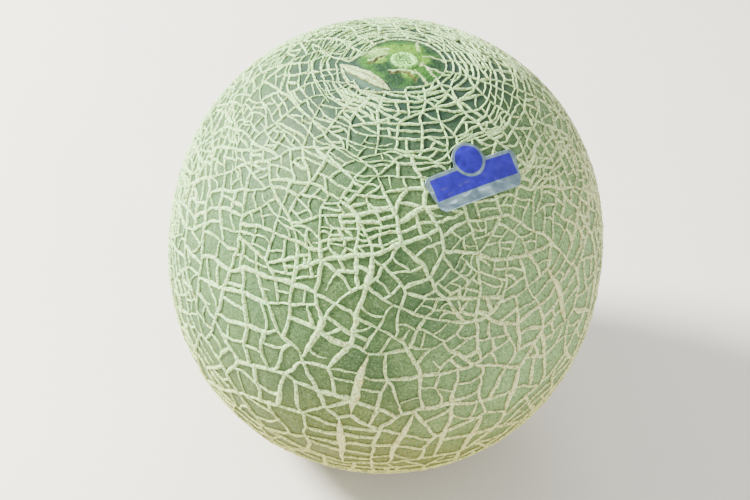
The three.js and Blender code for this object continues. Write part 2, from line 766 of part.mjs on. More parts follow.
function labelGeometry() {
  const middle = toward(LABEL_LATITUDE, LABEL_LONGITUDE);
  const { east, north } = compassAt(middle);
  const run = east.clone().applyAxisAngle(middle, LABEL_RISE * DEGREE);
  const rise = north.clone().applyAxisAngle(middle, LABEL_RISE * DEGREE);
  const surface = new Surface();
  const sheet = (height) => Array.from({ length: LABEL_COLUMNS + 1 }, (unused, column) => {
    const along = LABEL_LENGTH * (column / LABEL_COLUMNS - 0.5);
    const { lower, upper } = labelEdges(along);
    return Array.from({ length: LABEL_ROWS + 1 }, (alsoUnused, row) => {
      const up = lower + ((upper - lower) * row) / LABEL_ROWS;
      const drop = Math.max(0, 0.5 - up / LABEL_HEIGHT);
      const offset = run.clone().multiplyScalar(along * (1 - LABEL_TAPER * drop));
      offset.addScaledVector(rise, up);
      const length = offset.length();
      const place = length > 0 ? moved(middle, offset.divideScalar(length), length) : middle;
      return surface.add(overSkin(place, height));
    });
  });
  const under = sheet(NET_HEIGHT + LABEL_GAP);
  const over = sheet(NET_HEIGHT + LABEL_GAP + LABEL_THICKNESS);
  for (let column = 0; column < LABEL_COLUMNS; column += 1) {
    for (let row = 0; row < LABEL_ROWS; row += 1) {
      const corners = (grid) => [
        grid[column][row], grid[column + 1][row], grid[column + 1][row + 1], grid[column][row + 1],
      ];
      const [a, b, c, d] = corners(over);
      surface.face(a, b, c);
      surface.face(a, c, d);
      const [e, f, g, h] = corners(under);
      surface.face(e, g, f);
      surface.face(e, h, g);
    }
  }
  const rim = (grid) => [
    ...grid.map((column) => column[0]),
    ...grid[LABEL_COLUMNS].slice(1),
    ...grid.slice(0, -1).reverse().map((column) => column[LABEL_ROWS]),
    ...grid[0].slice(1, -1).reverse(),
  ];
  surface.band(rim(under), rim(over));
  return surface.geometry();
}

const rind = new THREE.MeshStandardMaterial({ color: 0x93b089, roughness: 0.7, metalness: 0 });
const foil = new THREE.MeshStandardMaterial({ color: 0x3338c0, roughness: 0.35, metalness: 0.2 });

const muskmelon = new THREE.Group();
muskmelon.name = 'muskmelon';
muskmelon.position.z = REST_DEPTH;

const melon = new THREE.Mesh(fruitGeometry(), rind);
melon.name = 'melon';
muskmelon.add(melon);

const label = new THREE.Mesh(labelGeometry(), foil);
label.name = 'label';
muskmelon.add(label);

export default muskmelon;
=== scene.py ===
"""Looks of the netted muskmelon: a fine rind, its raised cork net, the stem end and the blank label.

Shapes are worked out in millimetres from the middle of the fruit's girth and made in metres.
"""

import math

import bpy
import numpy as np
from mathutils import Matrix, Vector, noise
from mathutils.kdtree import KDTree


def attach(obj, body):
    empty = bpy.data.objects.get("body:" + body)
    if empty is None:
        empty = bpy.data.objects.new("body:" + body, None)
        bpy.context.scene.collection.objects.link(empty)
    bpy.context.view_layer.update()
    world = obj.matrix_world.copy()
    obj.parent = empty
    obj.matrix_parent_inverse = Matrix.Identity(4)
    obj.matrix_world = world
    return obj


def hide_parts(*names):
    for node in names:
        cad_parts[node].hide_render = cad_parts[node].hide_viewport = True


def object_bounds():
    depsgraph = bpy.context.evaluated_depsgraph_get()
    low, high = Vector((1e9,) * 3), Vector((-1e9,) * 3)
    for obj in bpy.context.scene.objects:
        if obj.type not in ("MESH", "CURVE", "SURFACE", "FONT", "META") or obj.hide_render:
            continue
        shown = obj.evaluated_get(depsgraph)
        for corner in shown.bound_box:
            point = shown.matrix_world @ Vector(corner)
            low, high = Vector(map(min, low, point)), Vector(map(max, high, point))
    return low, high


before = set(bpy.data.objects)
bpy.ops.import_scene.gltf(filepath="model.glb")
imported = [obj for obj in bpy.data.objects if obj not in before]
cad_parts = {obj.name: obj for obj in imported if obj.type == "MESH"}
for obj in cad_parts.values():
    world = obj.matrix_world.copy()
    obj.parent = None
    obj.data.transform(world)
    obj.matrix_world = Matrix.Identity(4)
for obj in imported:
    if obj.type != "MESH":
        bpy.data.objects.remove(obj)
cad_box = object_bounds()

# Fruit, in millimetres, as in the CAD source
EQUATOR_RADIUS = 73.0
CROWN_HEIGHT = 78.8
BASE_DEPTH = 73.3
CROWN_ROUNDNESS = 2.19
BASE_ROUNDNESS = 2.13
NET_HEIGHT = 0.8
REST_DEPTH = 72.6
REST_RADIUS = 13.0
PATCH_RADIUS = 13.2
PATCH_BEARINGS = [-110, -90, -73, -56, -35, -12, 8, 25]
PATCH_STRETCHES = [1.0, 1.2, 1.13, 1.04, 1.04, 1.12, 1.08, 1.0]
MEAN_RADIUS = 74.0
MILLIMETRE = 0.001
METRE = 1000

# Reading the CAD net: heights over the skin that tell crests from feet and give a cord's width
CREST_HEIGHT_LEAST = 0.45
FOOT_HEIGHT_MOST = 0.3
CREST_HEIGHT_BASE = 0.55
CREST_HEIGHT_PER_WIDTH = 0.15
CAD_WIDTHS = (0.7, 3.4)
SCAR_REACH = 8.0
HELD_REACH = 15.5
POLE_REACH = 0.1
STRIP_LATITUDE_LEAST = 70

# Drawing the CAD net straighter and its pointed areas narrower
RELAX_ROUNDS = 7
RELAX_SHARE = 0.4
RELAX_LIMITS = (0.2, 0.8)
WIDE_PULL = 0.35
CURVE_POINTS = 6
LENS_SHARE = 0.55

# How much finer than its CAD cord a cord is, by the distance from the axis above the girth, and below
FINER_REACHES = [14, 34, 50]
FINER_SHARES = [0.52, 0.68, 0.8]
FINER_SHARE_BELOW = 0.78

# Sideways wander of the net, as wave lengths and pushes, and how far out from the axis it is less
WARPS = [(10.0, 1.9), (3.6, 0.55), (1.6, 0.2)]
STEADY_REACH = 13.0
LOOSE_REACH = 24.0
STEADY_SHARE = 0.3

# Fine cells: latitude, area of a cell in square millimetres, width of its cords, and how strongly new
# cords keep to running round the fruit
FINE_ZONES = [
    (-90, 40, 0.9, 0.0),
    (-50, 60, 0.95, 0.1),
    (-15, 66, 0.9, 0.1),
    (10, 46, 0.9, 0.0),
    (30, 28, 0.92, 0.1),
    (50, 17, 0.86, 0.25),
    (70, 12, 0.58, 0.4),
    (90, 11, 0.5, 0.4),
]
# Stretches with wider or closer cells than elsewhere: latitude, longitude, reach, factor on the area
DENSITY_SPOTS = [
    (12, -27, 17, 1.9),
    (-12, -35, 18, 1.6),
    (-18, -12, 16, 1.7),
    (27, -9, 9, 1.5),
    (-20, 18, 16, 1.6),
    (14, 20, 12, 0.5),
    (26, 14, 10, 0.7),
    (8, 57, 14, 1.5),
    (74, -75, 8, 1.6),
    (58, -40, 17, 0.5),
    (42, -55, 16, 0.7),
    (42, 0, 16, 0.75),
]
DENSITY_DRIFT = 1.1
DENSITY_WAVE = 26.0

# Cracking a cell across: spreads are ranges of a seeded draw, shares are of the cell's own size
SEED = 20260
AREA_SPREAD = (0.75, 1.7)
OFF_MIDDLE = 0.09
HEADINGS = 6
PART_LEAST = 0.22
LENGTH_SPREAD = (0.9, 1.1)
BOW_SPREAD = 0.07
WIDTH_SPREAD = (0.7, 1.2)
LAST_CUT_AREA = 2.2
FREE_END_SHARE = 0.16
FREE_END_POINTS = (3, 5)
SPINDLE_SPREAD = (0.0, 0.6)

# Fine cords that run round the stem, by their distance from the axis
FINE_RINGS = [15.3, 17.3, 19.3, 23.3, 27.6, 32.4, 35.8, 39.4, 43.4]
RING_WIDTH = 0.62
RING_WIDTH_SPREAD = (0.8, 1.25)
RING_SPINDLE = 0.1
RING_PART_LEAST = 2.0

# Cords: step along them, depth of their feet, height by width, and thinner ends
CORD_STEP = 0.83
CORD_SINK = 0.35
CORD_SPINDLE = 0.15
CORD_HEIGHT_BASE = 0.42
CORD_HEIGHT_PER_WIDTH = 0.2
CORD_WIDTH_TALLEST = 2.6
CORD_REACH = 0.3
END_WIDTH = 0.55
END_HEIGHT = 0.3
FADE_POINTS = 5
BROAD_FROM = 1.3
BROAD_RANGE = 1.2
# Waves that swell a cord or a pointed area: length, shift of the noise, and share
CORD_SWELL = [(13.0, 3.0, 0.7), (4.0, 5.0, 0.35), (1.5, 8.0, 0.3)]
CORD_RISE = [(1.3, 11.0, 0.3)]
LENS_SWELL = [(3.2, 4.0, 0.35), (1.1, 6.0, 0.25)]
LENS_RISE = [(1.6, 2.0, 0.15)]
SWELL_LIMITS = (0.5, 1.6)
RIM_WIDTH = 0.9
LENS_HEIGHT = 0.95
SMOOTH_ROUNDS = 12
# Half of a band's section from its outer foot to its crest: shares of the width and of the height
ROUND_SECTION = [(0.62, None), (0.55, 0.1), (0.41, 0.42), (0.29, 0.86), (0.0, 1.0)]
BROAD_SECTION = [(0.56, None), (0.52, 0.1), (0.46, 0.42), (0.38, 0.82), (0.2, 0.98), (0.0, 1.0)]
STRIP_SECTION = [(0.56, None), (0.52, 0.1), (0.47, 0.5), (0.38, 0.94), (0.16, 1.0), (0.0, 0.84)]
GROOVE_REACH = 0.07
# Cork's grain: wave lengths and shares of the push, and how much of it a band's foot gets
CORK_GRAIN = [(0.9, 1.0), (0.42, 0.6)]
FOOT_GRAIN = 0.35
NET_ROUGHNESS = 0.2
STRIP_ROUGHNESS = 0.22

# Pieces of the net by latitude
NET_ZONES = {
    "net_crown": (55, 91),
    "net_shoulder": (30, 55),
    "net_girth": (8, 30),
    "net_waist": (-18, 8),
    "net_low": (-42, -18),
    "net_base": (-91, -42),
}

# Rind: steps along a side of its grid, swell between the cords, slow waves, the reach of the painted shadow
# beside the cords, and its edges under the stem patch and round the resting spot
RIND_STEPS = 102
RIND_SWELL = 0.17
RIND_SWELL_REACH = 1.6
RIND_WAVE_HEIGHT = 0.07
RIND_WAVE = 9.0
CORD_SHADOW_REACH = 0.7
PATCH_OVERLAP = 0.3
PATCH_BORDER = 0.8
PATCH_SINK = 0.6
REST_BORDER = 1.4

# Stem patch: its grid, its scar, and its height by the distance from the axis
STEM_RINGS = 96
STEM_SPOKES = 210
STEM_MIDDLE = 0.15
SCAR_RADIUS = 4.4
STEM_RADII = [0.0, 0.8, 1.8, 2.4, 2.8, 3.2, 3.6, 4.0, 4.4, 5.2, 8.0, 11.0, 12.6, 13.4, 14.2]
STEM_RISES = [0.48, 0.36, 0.4, 0.42, 0.78, 1.0, 1.05, 0.9, 0.45, 0.28, 0.2, 0.12, 0.05, -0.1, -0.5]
STEM_WAVE = 2.2
STEM_GRAIN = 0.75
SCAR_GRAIN_HEIGHT = 0.32
PATCH_GRAIN_HEIGHT = 0.1
SEAM_HEIGHT = 0.22
CRACK_DEPTH = 0.4
SCAR_CRACK_DEPTH = 0.15
# Marks on it, as level places in millimetres from the axis whose second number grows to the back:
# brown cracks and pale seams as half a width and points, and stains as a middle and a reach
STEM_CRACKS = [
    (0.5, [(-10.8, -2.4), (-8.4, 0.4), (-6.3, 2.4)]),
    (0.38, [(-3.9, -6.6), (-0.4, -6.0), (2.6, -6.4), (4.4, -8.4)]),
    (0.28, [(1.4, -6.2), (4.0, -9.8)]),
]
STEM_SEAMS = [
    (0.3, [(-12.6, 3.6), (-8.4, 5.0), (-5.2, 6.4)]),
    (0.31, [(-11.0, -1.2), (-8.2, 1.4), (-5.6, 3.6)]),
    (0.31, [(-4.2, -5.8), (-0.2, -5.2), (3.2, -5.6)]),
    (0.3, [(3.2, 12.6), (3.6, 9.0), (4.0, 6.6)]),
    (0.31, [(5.2, -1.0), (8.2, -2.4), (12.8, -3.2)]),
    (0.31, [(7.0, -1.8), (9.2, -5.2), (11.0, -7.6)]),
    (0.31, [(3.6, -4.4), (6.0, -7.4), (8.0, -10.8)]),
    (0.3, [(5.8, 4.0), (9.4, 4.2), (13.0, 3.0)]),
]
STEM_STAINS = {
    "dark": [(9.8, 0.8, 4.2), (-6.4, -4.0, 3.4), (-2.2, -9.4, 3.8), (5.2, -10.6, 3.2), (8.0, 8.2, 3.0)],
    "yellow": [(5.6, 2.4, 2.4), (-4.2, 5.8, 3.4), (1.8, 7.2, 3.4), (-7.6, -0.4, 2.0), (1.6, -6.6, 2.0)],
    "pale": [(-9.4, 4.0, 3.2), (-7.4, 1.4, 1.4), (0.4, -5.8, 1.2), (4.9, -0.4, 1.2)],
}
# Distances from the axis at which its colours change
SCAR_MIDDLE_EDGE = (2.2, 2.9)
SCAR_OUTER_EDGE = (4.1, 4.6)
PATCH_OUTER_EDGE = (11.0, 13.4)

# Corky strip beside the stem, the thin cord before it, and the pale rind between the two
STRIP_LINE = [(-19.8, -1.4), (-15.8, -4.8), (-12.0, -8.0), (-8.0, -11.4), (-3.4, -15.2)]
STRIP_WIDTH = 3.9
STRIP_HEIGHT = 1.0
STRIP_TAPER = 0.75
STRIP_FRONT_LINE = [
    (-19.6, -2.0), (-18.6, -6.8), (-16.4, -11.4), (-12.6, -14.9), (-8.0, -16.7), (-3.3, -16.2),
]
STRIP_FRONT_WIDTH = 0.75
STRIP_FRONT_SPINDLE = 0.3
CRESCENT = (1.5, [(-18.0, -4.8), (-15.2, -9.0), (-11.4, -12.4), (-7.0, -14.8)])

# Long cords round the stem end on the strip's side: width and level places
CROWN_CORDS = [
    (0.62, [(-8.7, 15.7), (-13.6, 13.3), (-17.8, 9.4), (-20.1, 3.7), (-20.9, -1.3)]),
    (0.66, [(-20.9, -1.3), (-20.4, -6.6), (-19.0, -11.2), (-15.7, -15.8), (-10.6, -18.8), (-4.4, -19.5)]),
    (0.74, [(-15.1, 17.6), (-19.6, 13.3), (-22.6, 6.7), (-23.2, 0.9), (-22.7, -5.0)]),
    (0.62, [(-22.7, -5.0), (-21.2, -10.7), (-18.1, -15.9), (-14.6, -19.4), (-8.0, -22.6)]),
    (0.7, [(-17.4, 23.2), (-21.8, 17.8), (-24.6, 9.4), (-25.2, 0.2), (-24.5, -6.4)]),
    (0.74, [(-24.5, -6.4), (-22.9, -12.3), (-19.9, -18.1), (-16.0, -22.3), (-9.0, -26.0)]),
    (0.62, [(-25.1, 21.8), (-27.4, 12.8), (-28.0, 1.0), (-27.2, -6.0), (-25.4, -12.5), (-22.1, -18.9)]),
    (0.56, [(-11.0, 8.6), (-13.2, 4.6), (-14.6, 1.4), (-16.6, -0.6), (-18.6, 0.6), (-20.4, 2.0)]),
    (0.56, [(-3.6, -15.9), (1.0, -15.4), (5.6, -14.2), (9.6, -11.4)]),
    (0.5, [(-19.2, -6.0), (-21.6, -6.8), (-25.0, -6.6)]),
    (0.5, [(-16.8, -11.8), (-19.4, -13.0), (-23.0, -14.2)]),
    (0.5, [(-13.4, -15.0), (-14.8, -17.6), (-17.6, -21.0)]),
    (0.5, [(-9.2, -16.8), (-9.8, -19.4), (-11.0, -23.6)]),
    (0.5, [(-19.4, 4.6), (-22.4, 5.8), (-26.0, 6.8)]),
    (0.5, [(-16.6, 10.8), (-19.8, 12.8), (-22.8, 15.6)]),
]

# Label, in millimetres and degrees, as in the CAD source
LABEL_LATITUDE = 54.3
LABEL_LONGITUDE = 33.6
LABEL_RISE = 3.0
LABEL_LENGTH = 31.2
LABEL_TAPER = 0.12
LABEL_HEIGHT = 11.0
LABEL_CORNER = 2.4
LABEL_TAB_RADIUS = 5.05
LABEL_TAB_ABOVE_MIDDLE = 6.3
# Label as a thin sheet: its grid, how high it lies, and how the cords show through it
LABEL_COLUMNS = 131
LABEL_ROWS = 45
LABEL_LIFT = 0.95
LABEL_THICKNESS = 0.2
LABEL_BEDDING = 0.22
LABEL_BEDDING_REACH = 0.8
LABEL_WAVE_HEIGHT = 0.03
LABEL_WAVE = 4.0
# Edges of the blue field and of the disc in the tab, from where a colour starts to where it is whole
FIELD_END = (13.55, 13.7)
FIELD_TOP = (4.35, 4.5)
FIELD_FOOT = (-1.95, -2.1)
TAB_EDGE = (5.15, 5.0)
DISC_EDGE = (4.3, 4.15)

# Camera, floor and lights, in metres and degrees
LOOK_DOWN = 40.0
CAMERA_DISTANCE = 0.6429
CAMERA_ROLL = 5.9
CAMERA_LENS = 91.2
SENSOR_WIDTH = 36
PHOTO_WIDTH = 750
PHOTO_HEIGHT = 500
AXIS_ACROSS = 384.8
AXIS_DOWN = 252.0
FLOOR_HALF = 3.0
# Place, size, power and colour of each light
LIGHTS = {
    "key": ((-0.75, 0.1, 0.62), 0.28, 49.0, (0.99, 1.0, 0.95)),
    "fill": ((0.75, -0.75, 0.4), 0.9, 11.0, (1.0, 0.98, 0.94)),
    "back": ((-0.1, 0.9, 0.7), 0.6, 5.0, (0.96, 0.98, 1.0)),
}
WORLD_COLOR = (0.93, 0.95, 1.0, 1)
WORLD_STRENGTH = 0.95

FRUIT_MIDDLE = Vector((0, 0, REST_DEPTH * MILLIMETRE))

draws = np.random.default_rng(SEED)
noise.seed_set(SEED)


def skin_distance(directions):
    """Distance from the middle of the girth to the smooth skin, along unit directions."""
    upper = directions[..., 2] >= 0
    roundness = np.where(upper, CROWN_ROUNDNESS, BASE_ROUNDNESS)
    half_height = np.where(upper, CROWN_HEIGHT, BASE_DEPTH) - NET_HEIGHT
    across = np.hypot(directions[..., 0], directions[..., 1]) / (EQUATOR_RADIUS - NET_HEIGHT)
    along = np.abs(directions[..., 2]) / half_height
    return (across**roundness + along**roundness) ** (-1 / roundness)


def unit(vectors):
    return vectors / np.linalg.norm(vectors, axis=-1, keepdims=True)


def over_skin(directions, height):
    return directions * (skin_distance(directions) + height)[..., None]


def latitude_of(directions):
    return np.degrees(np.arcsin(np.clip(directions[..., 2], -1, 1)))


def toward(latitude, longitude):
    """Unit direction of a latitude and longitude; longitude 0 faces -Y and grows towards +X."""
    flat = math.cos(math.radians(latitude))
    turn = math.radians(longitude)
    return np.array([flat * math.sin(turn), -flat * math.cos(turn), math.sin(math.radians(latitude))])


def crown_direction(radius, bearing):
    """Unit directions of the skin at a level radius from the axis, at the crown."""
    radius = np.asarray(radius, float)
    turn = np.radians(bearing)
    top = CROWN_HEIGHT - NET_HEIGHT
    reach = EQUATOR_RADIUS - NET_HEIGHT
    height = top * (1 - (radius / reach) ** CROWN_ROUNDNESS) ** (1 / CROWN_ROUNDNESS)
    return unit(np.stack([radius * np.sin(turn), -radius * np.cos(turn), height], -1))


def smooth_noise(points, wave, shift=0.0):
    """Smooth noise between about -1 and 1 at points in millimetres."""
    return np.array([noise.noise(Vector(point) / wave + Vector((shift, 0, 0))) for point in points])


def swell(places, waves):
    """Factors about 1 at places in millimetres, from waves of noise."""
    factor = 1.0
    for wave, shift, share in waves:
        factor = factor + share * smooth_noise(places, wave, shift)
    return factor


def bell(distance, reach):
    """A share that falls from 1 towards 0 over a reach."""
    return np.exp(-((distance / reach) ** 2))


def warp(directions):
    """Bends the net sideways over the skin, so that its straight runs wander; less beside the stem."""
    moved = []
    for direction in directions:
        place = Vector(direction) * MEAN_RADIUS
        reach = math.hypot(place.x, place.y)
        loose = (reach - STEADY_REACH) / (LOOSE_REACH - STEADY_REACH)
        share = STEADY_SHARE + (1 - STEADY_SHARE) * min(1, max(0, loose))
        for wave, push in WARPS:
            place = place + noise.noise_vector(place / wave) * (push * share)
        moved.append(place)
    return unit(np.array(moved))


def fine_zone(direction):
    """Area of the cells, width of their cords and the cords' pull round the fruit, at a direction."""
    latitude = float(latitude_of(direction))
    latitudes, *columns = zip(*FINE_ZONES)
    area, width, pull = (float(np.interp(latitude, latitudes, column)) for column in columns)
    area *= math.exp(DENSITY_DRIFT * noise.noise(Vector(direction) * MEAN_RADIUS / DENSITY_WAVE))
    for up, round_axis, reach, factor in DENSITY_SPOTS:
        away = math.degrees(math.acos(min(1, float(direction @ toward(up, round_axis)))))
        area *= factor ** math.exp(-((away / reach) ** 2))
    return area, width, pull


def grid_quads(grid):
    """Four-sided faces of a grid of vertex numbers."""
    return np.stack([grid[:-1, :-1], grid[1:, :-1], grid[1:, 1:], grid[:-1, 1:]], -1).reshape(-1, 4)


def loop_quads(grid):
    """Four-sided faces of a grid of vertex numbers whose rows close on themselves."""
    here, ahead = grid[:-1], grid[1:]
    return np.stack([here, ahead, np.roll(ahead, -1, 1), np.roll(here, -1, 1)], -1).reshape(-1, 4)


def mesh_object(name, vertices, faces, material, attributes=None):
    """A smooth mesh object from vertices in millimetres and lists of equal-sided faces."""
    mesh = bpy.data.meshes.new(name)
    sizes = np.concatenate([np.full(len(part), part.shape[1]) for part in faces])
    corners = np.concatenate([part.ravel() for part in faces])
    placed = np.asarray(vertices, float) + (0, 0, REST_DEPTH)
    placed *= MILLIMETRE
    placed = np.clip(placed, np.array(cad_box[0]), np.array(cad_box[1]))
    mesh.vertices.add(len(placed))
    mesh.vertices.foreach_set("co", placed.astype(np.float32).ravel())
    mesh.loops.add(len(corners))
    mesh.loops.foreach_set("vertex_index", corners.astype(np.int32))
    mesh.polygons.add(len(sizes))
    starts = np.concatenate([[0], np.cumsum(sizes)[:-1]])
    mesh.polygons.foreach_set("loop_start", starts.astype(np.int32))
    mesh.update(calc_edges=True)
    mesh.validate()
    mesh.polygons.foreach_set("use_smooth", np.ones(len(mesh.polygons), bool))
    for key, values in (attributes or {}).items():
        layer = mesh.attributes.new(key, "FLOAT", "POINT")
        layer.data.foreach_set("value", np.asarray(values, np.float32))
    mesh.materials.append(material)
    piece = bpy.data.objects.new(name, mesh)
    bpy.context.scene.collection.objects.link(piece)
    return piece


class NodeGraph:
    """Short names for building a material's nodes."""

    def __init__(self, name):
        self.material = bpy.data.materials.new(name)
        self.material.use_nodes = True
        self.nodes = self.material.node_tree.nodes
        self.links = self.material.node_tree.links
        self.shader = self.nodes["Principled BSDF"]
        self.place = self.nodes.new("ShaderNodeTexCoord").outputs["Object"]

    def connect(self, value, socket):
        if isinstance(value, bpy.types.NodeSocket):
            self.links.new(value, socket)
        else:
            socket.default_value = value

    def add(self, kind, output, inputs, **settings):
        """Adds a node with its settings and inputs, and returns one of its outputs."""
        node = self.nodes.new("ShaderNode" + kind)
        for key, value in settings.items():
            setattr(node, key, value)
        for key, value in inputs.items():
            self.connect(value, node.inputs[key])
        return node.outputs[output]

    def noise(self, scale, detail=3.0, roughness=0.55):
        inputs = {"Vector": self.place, "Scale": scale, "Detail": detail, "Roughness": roughness}
        return self.add("TexNoise", "Fac", inputs)

    def spots(self, scale):
        """Distance to the nearest of many scattered points."""
        return self.add("TexVoronoi", "Distance", {"Vector": self.place, "Scale": scale})

    def spread(self, value, low, high, to_low=0.0, to_high=1.0):
        """A value's way from low to high, as a smooth share or between two other values."""
        inputs = {"Value": value, "From Min": low, "From Max": high, "To Min": to_low, "To Max": to_high}
        return self.add("MapRange", "Result", inputs, interpolation_type="SMOOTHSTEP")

    def math(self, operation, first, second=0.0):
        return self.add("Math", 0, {0: first, 1: second}, operation=operation)

    def times(self, first, second):
        return self.math("MULTIPLY", first, second)

    def plus(self, first, second):
        return self.math("ADD", first, second)

    def mix(self, share, first, second):
        return self.add("Mix", "Result", {"Factor": share, "A": first, "B": second}, data_type="RGBA")

    def attribute(self, name):
        return self.add("Attribute", "Fac", {}, attribute_name=name)

    def axis(self, which):
        return self.add("SeparateXYZ", which, {0: self.place})

    def bump(self, height, strength, distance):
        inputs = {"Height": height, "Strength": strength, "Distance": distance}
        self.links.new(self.add("Bump", "Normal", inputs), self.shader.inputs["Normal"])

    def finish(self, color, roughness, specular):
        self.connect(color, self.shader.inputs["Base Color"])
        self.connect(roughness, self.shader.inputs["Roughness"])
        self.shader.inputs["Specular IOR Level"].default_value = specular
        return self.material


def tint(red, green, blue):
    """A colour given as it is seen, in 0 to 255, as the linear colour that shaders take."""
    shares = [value / 255 for value in (red, green, blue)]
    return tuple(s / 12.92 if s <= 0.04045 else ((s + 0.055) / 1.055) ** 2.4 for s in shares) + (1.0,)


def rind_material():
    graph = NodeGraph("rind")
    height = graph.axis("Z")
    across = graph.axis("X")
    mottle = graph.noise(55, 4)
    sage = graph.mix(graph.spread(mottle, 0.35, 0.68), tint(62, 90, 53), tint(96, 121, 71))
    # Painted reflection: the rind is painted yellower towards the bottom, as yellow light thrown up from
    # below.
    bounce_yellowed = graph.mix(graph.spread(height, 0.1, 0.025), sage, tint(114, 106, 20))
    # Painted light: the rind is painted paler on the left side, as the sheen of the key light falling there.
    wandering = graph.plus(across, graph.times(mottle, 0.03))
    pale = graph.spread(wandering, 0.02, -0.06)
    left_lit = graph.mix(graph.times(pale, 0.75), bounce_yellowed, tint(87, 121, 75))
    # Painted light: the rind is painted lighter on the right side, above its foot, as light falling there.
    far_right = graph.spread(wandering, 0.012, 0.07)
    above_foot = graph.spread(height, 0.02, 0.075, 0.0, 0.85)
    right_lit = graph.mix(graph.times(far_right, above_foot), left_lit, tint(142, 174, 114))
    fine = graph.noise(1100, 4, 0.65)
    shaded = graph.mix(graph.spread(fine, 0.4, 0.6, 0.0, 0.6), right_lit, tint(44, 76, 38))
    bloom = graph.spread(graph.noise(1900, 2), 0.56, 0.68, 0.0, 0.45)
    dusted = graph.mix(bloom, shaded, tint(150, 178, 132))
    crown = graph.spread(graph.plus(height, graph.times(mottle, 0.02)), 0.142, 0.16)
    deep = graph.mix(graph.spread(fine, 0.4, 0.62), tint(14, 36, 38), tint(26, 52, 48))
    dark = graph.mix(graph.times(crown, 0.9), dusted, deep)
    bedded = graph.mix(graph.times(graph.attribute("bed"), 0.85), dark, tint(84, 114, 94))
    # Painted shade: the rind is painted darker just beside the cords, as the shadows they cast on it.
    shadow_share = graph.attribute("cord_shadow")
    foot_shaded = graph.mix(graph.times(shadow_share, 0.3), bedded, tint(42, 70, 36))
    specks = graph.spread(graph.spots(420), 0.2, 0.12)
    speckled = graph.mix(graph.times(specks, 0.6), foot_shaded, tint(24, 42, 24))
    graph.bump(graph.plus(fine, graph.times(mottle, 2.0)), 0.4, 0.0003)
    return graph.finish(speckled, graph.spread(mottle, 0.3, 0.7, 0.54, 0.66), 0.22)


def cork_material():
    graph = NodeGraph("cork")
    height = graph.axis("Z")
    across = graph.axis("X")
    tone = graph.attribute("tone")
    rise = graph.attribute("rise")
    broad = graph.attribute("breadth")
    cream = graph.mix(tone, tint(196, 244, 162), tint(208, 253, 180))
    # Painted light and shade: the cork is painted creamier and greener towards the lit upper left and tan
    # towards the lower right.
    drift = graph.plus(graph.times(across, 5.0), graph.times(height, -4.0))
    tan_share = graph.spread(drift, -0.58, -0.12)
    beige = graph.mix(graph.times(tan_share, 0.85), cream, tint(222, 224, 166))
    # Painted reflection: the cork is painted yellower towards the bottom, as yellow light thrown up from
    # below.
    low_share = graph.spread(height, 0.085, 0.025, 0.0, 0.7)
    bounce_sandy = graph.mix(low_share, beige, tint(208, 200, 100))
    rough = graph.noise(1300, 3, 0.7)
    # Painted shade: dark olive dots where the grain's bump is low, as shade in its hollows.
    grain_shaded = graph.mix(graph.spread(rough, 0.53, 0.4, 0.0, 0.8), bounce_sandy, tint(120, 126, 70))
    browned = graph.mix(graph.times(broad, 0.3), grain_shaded, tint(214, 206, 150))
    streaks = graph.noise(420, 3)
    depth = graph.plus(0.25, graph.times(broad, 0.5))
    share = graph.times(graph.spread(streaks, 0.56, 0.68), depth)
    stained = graph.mix(share, browned, tint(176, 138, 78))
    # Painted shade: the cork is painted dark olive low on each cord's sides, as the shadow lines along its
    # feet.
    foot_shaded = graph.mix(graph.spread(rise, 0.5, 0.08, 0.0, 0.85), stained, tint(70, 84, 38))
    graph.bump(rough, 1.0, 0.0008)
    return graph.finish(foot_shaded, 0.8, 0.25)


def stem_material():
    graph = NodeGraph("stem_end")
    away = graph.attribute("away")
    fine = graph.noise(1100, 4, 0.65)
    patches = graph.noise(330, 3)
    mid = graph.mix(graph.spread(patches, 0.4, 0.6), tint(34, 82, 20), tint(56, 108, 30))
    darkened = graph.mix(graph.attribute("dark"), mid, tint(12, 44, 22))
    yellowed = graph.mix(graph.attribute("yellow"), darkened, tint(96, 144, 30))
    paled = graph.mix(graph.attribute("pale"), yellowed, tint(146, 190, 98))
    flecked = graph.mix(graph.spread(fine, 0.42, 0.66, 0.0, 0.55), paled, tint(36, 72, 26))
    outer = graph.mix(graph.spread(away, *PATCH_OUTER_EDGE), flecked, tint(40, 60, 48))
    lip = graph.mix(graph.spread(fine, 0.38, 0.62), tint(106, 160, 74), tint(158, 228, 120))
    middle = graph.mix(graph.spread(fine, 0.4, 0.6), tint(56, 96, 44), tint(146, 210, 104))
    scar = graph.mix(graph.spread(away, *SCAR_MIDDLE_EDGE), middle, lip)
    whole = graph.mix(graph.spread(away, *SCAR_OUTER_EDGE), scar, outer)
    seamed = graph.mix(graph.attribute("seam"), whole, tint(190, 214, 146))
    cracked = graph.mix(graph.attribute("groove"), seamed, tint(84, 76, 36))
    graph.bump(fine, 0.9, 0.0005)
    return graph.finish(cracked, 0.66, 0.25)


def strip_material():
    graph = NodeGraph("cork_strip")
    fine = graph.noise(1500, 4, 0.65)
    beige = graph.mix(graph.spread(fine, 0.36, 0.62), tint(150, 166, 104), tint(198, 230, 166))
    specks = graph.spread(graph.noise(620, 2), 0.58, 0.66)
    speckled = graph.mix(graph.times(specks, 0.75), beige, tint(104, 84, 46))
    browned = graph.mix(graph.times(graph.attribute("groove"), 0.8), speckled, tint(98, 84, 46))
    # Painted shade: the strip is painted darker low on its sides, as the shadow along its edges.
    foot_shaded = graph.mix(graph.spread(graph.attribute("rise"), 0.7, 0.2), browned, tint(110, 112, 62))
    graph.bump(fine, 0.9, 0.0005)
    return graph.finish(foot_shaded, 0.8, 0.25)


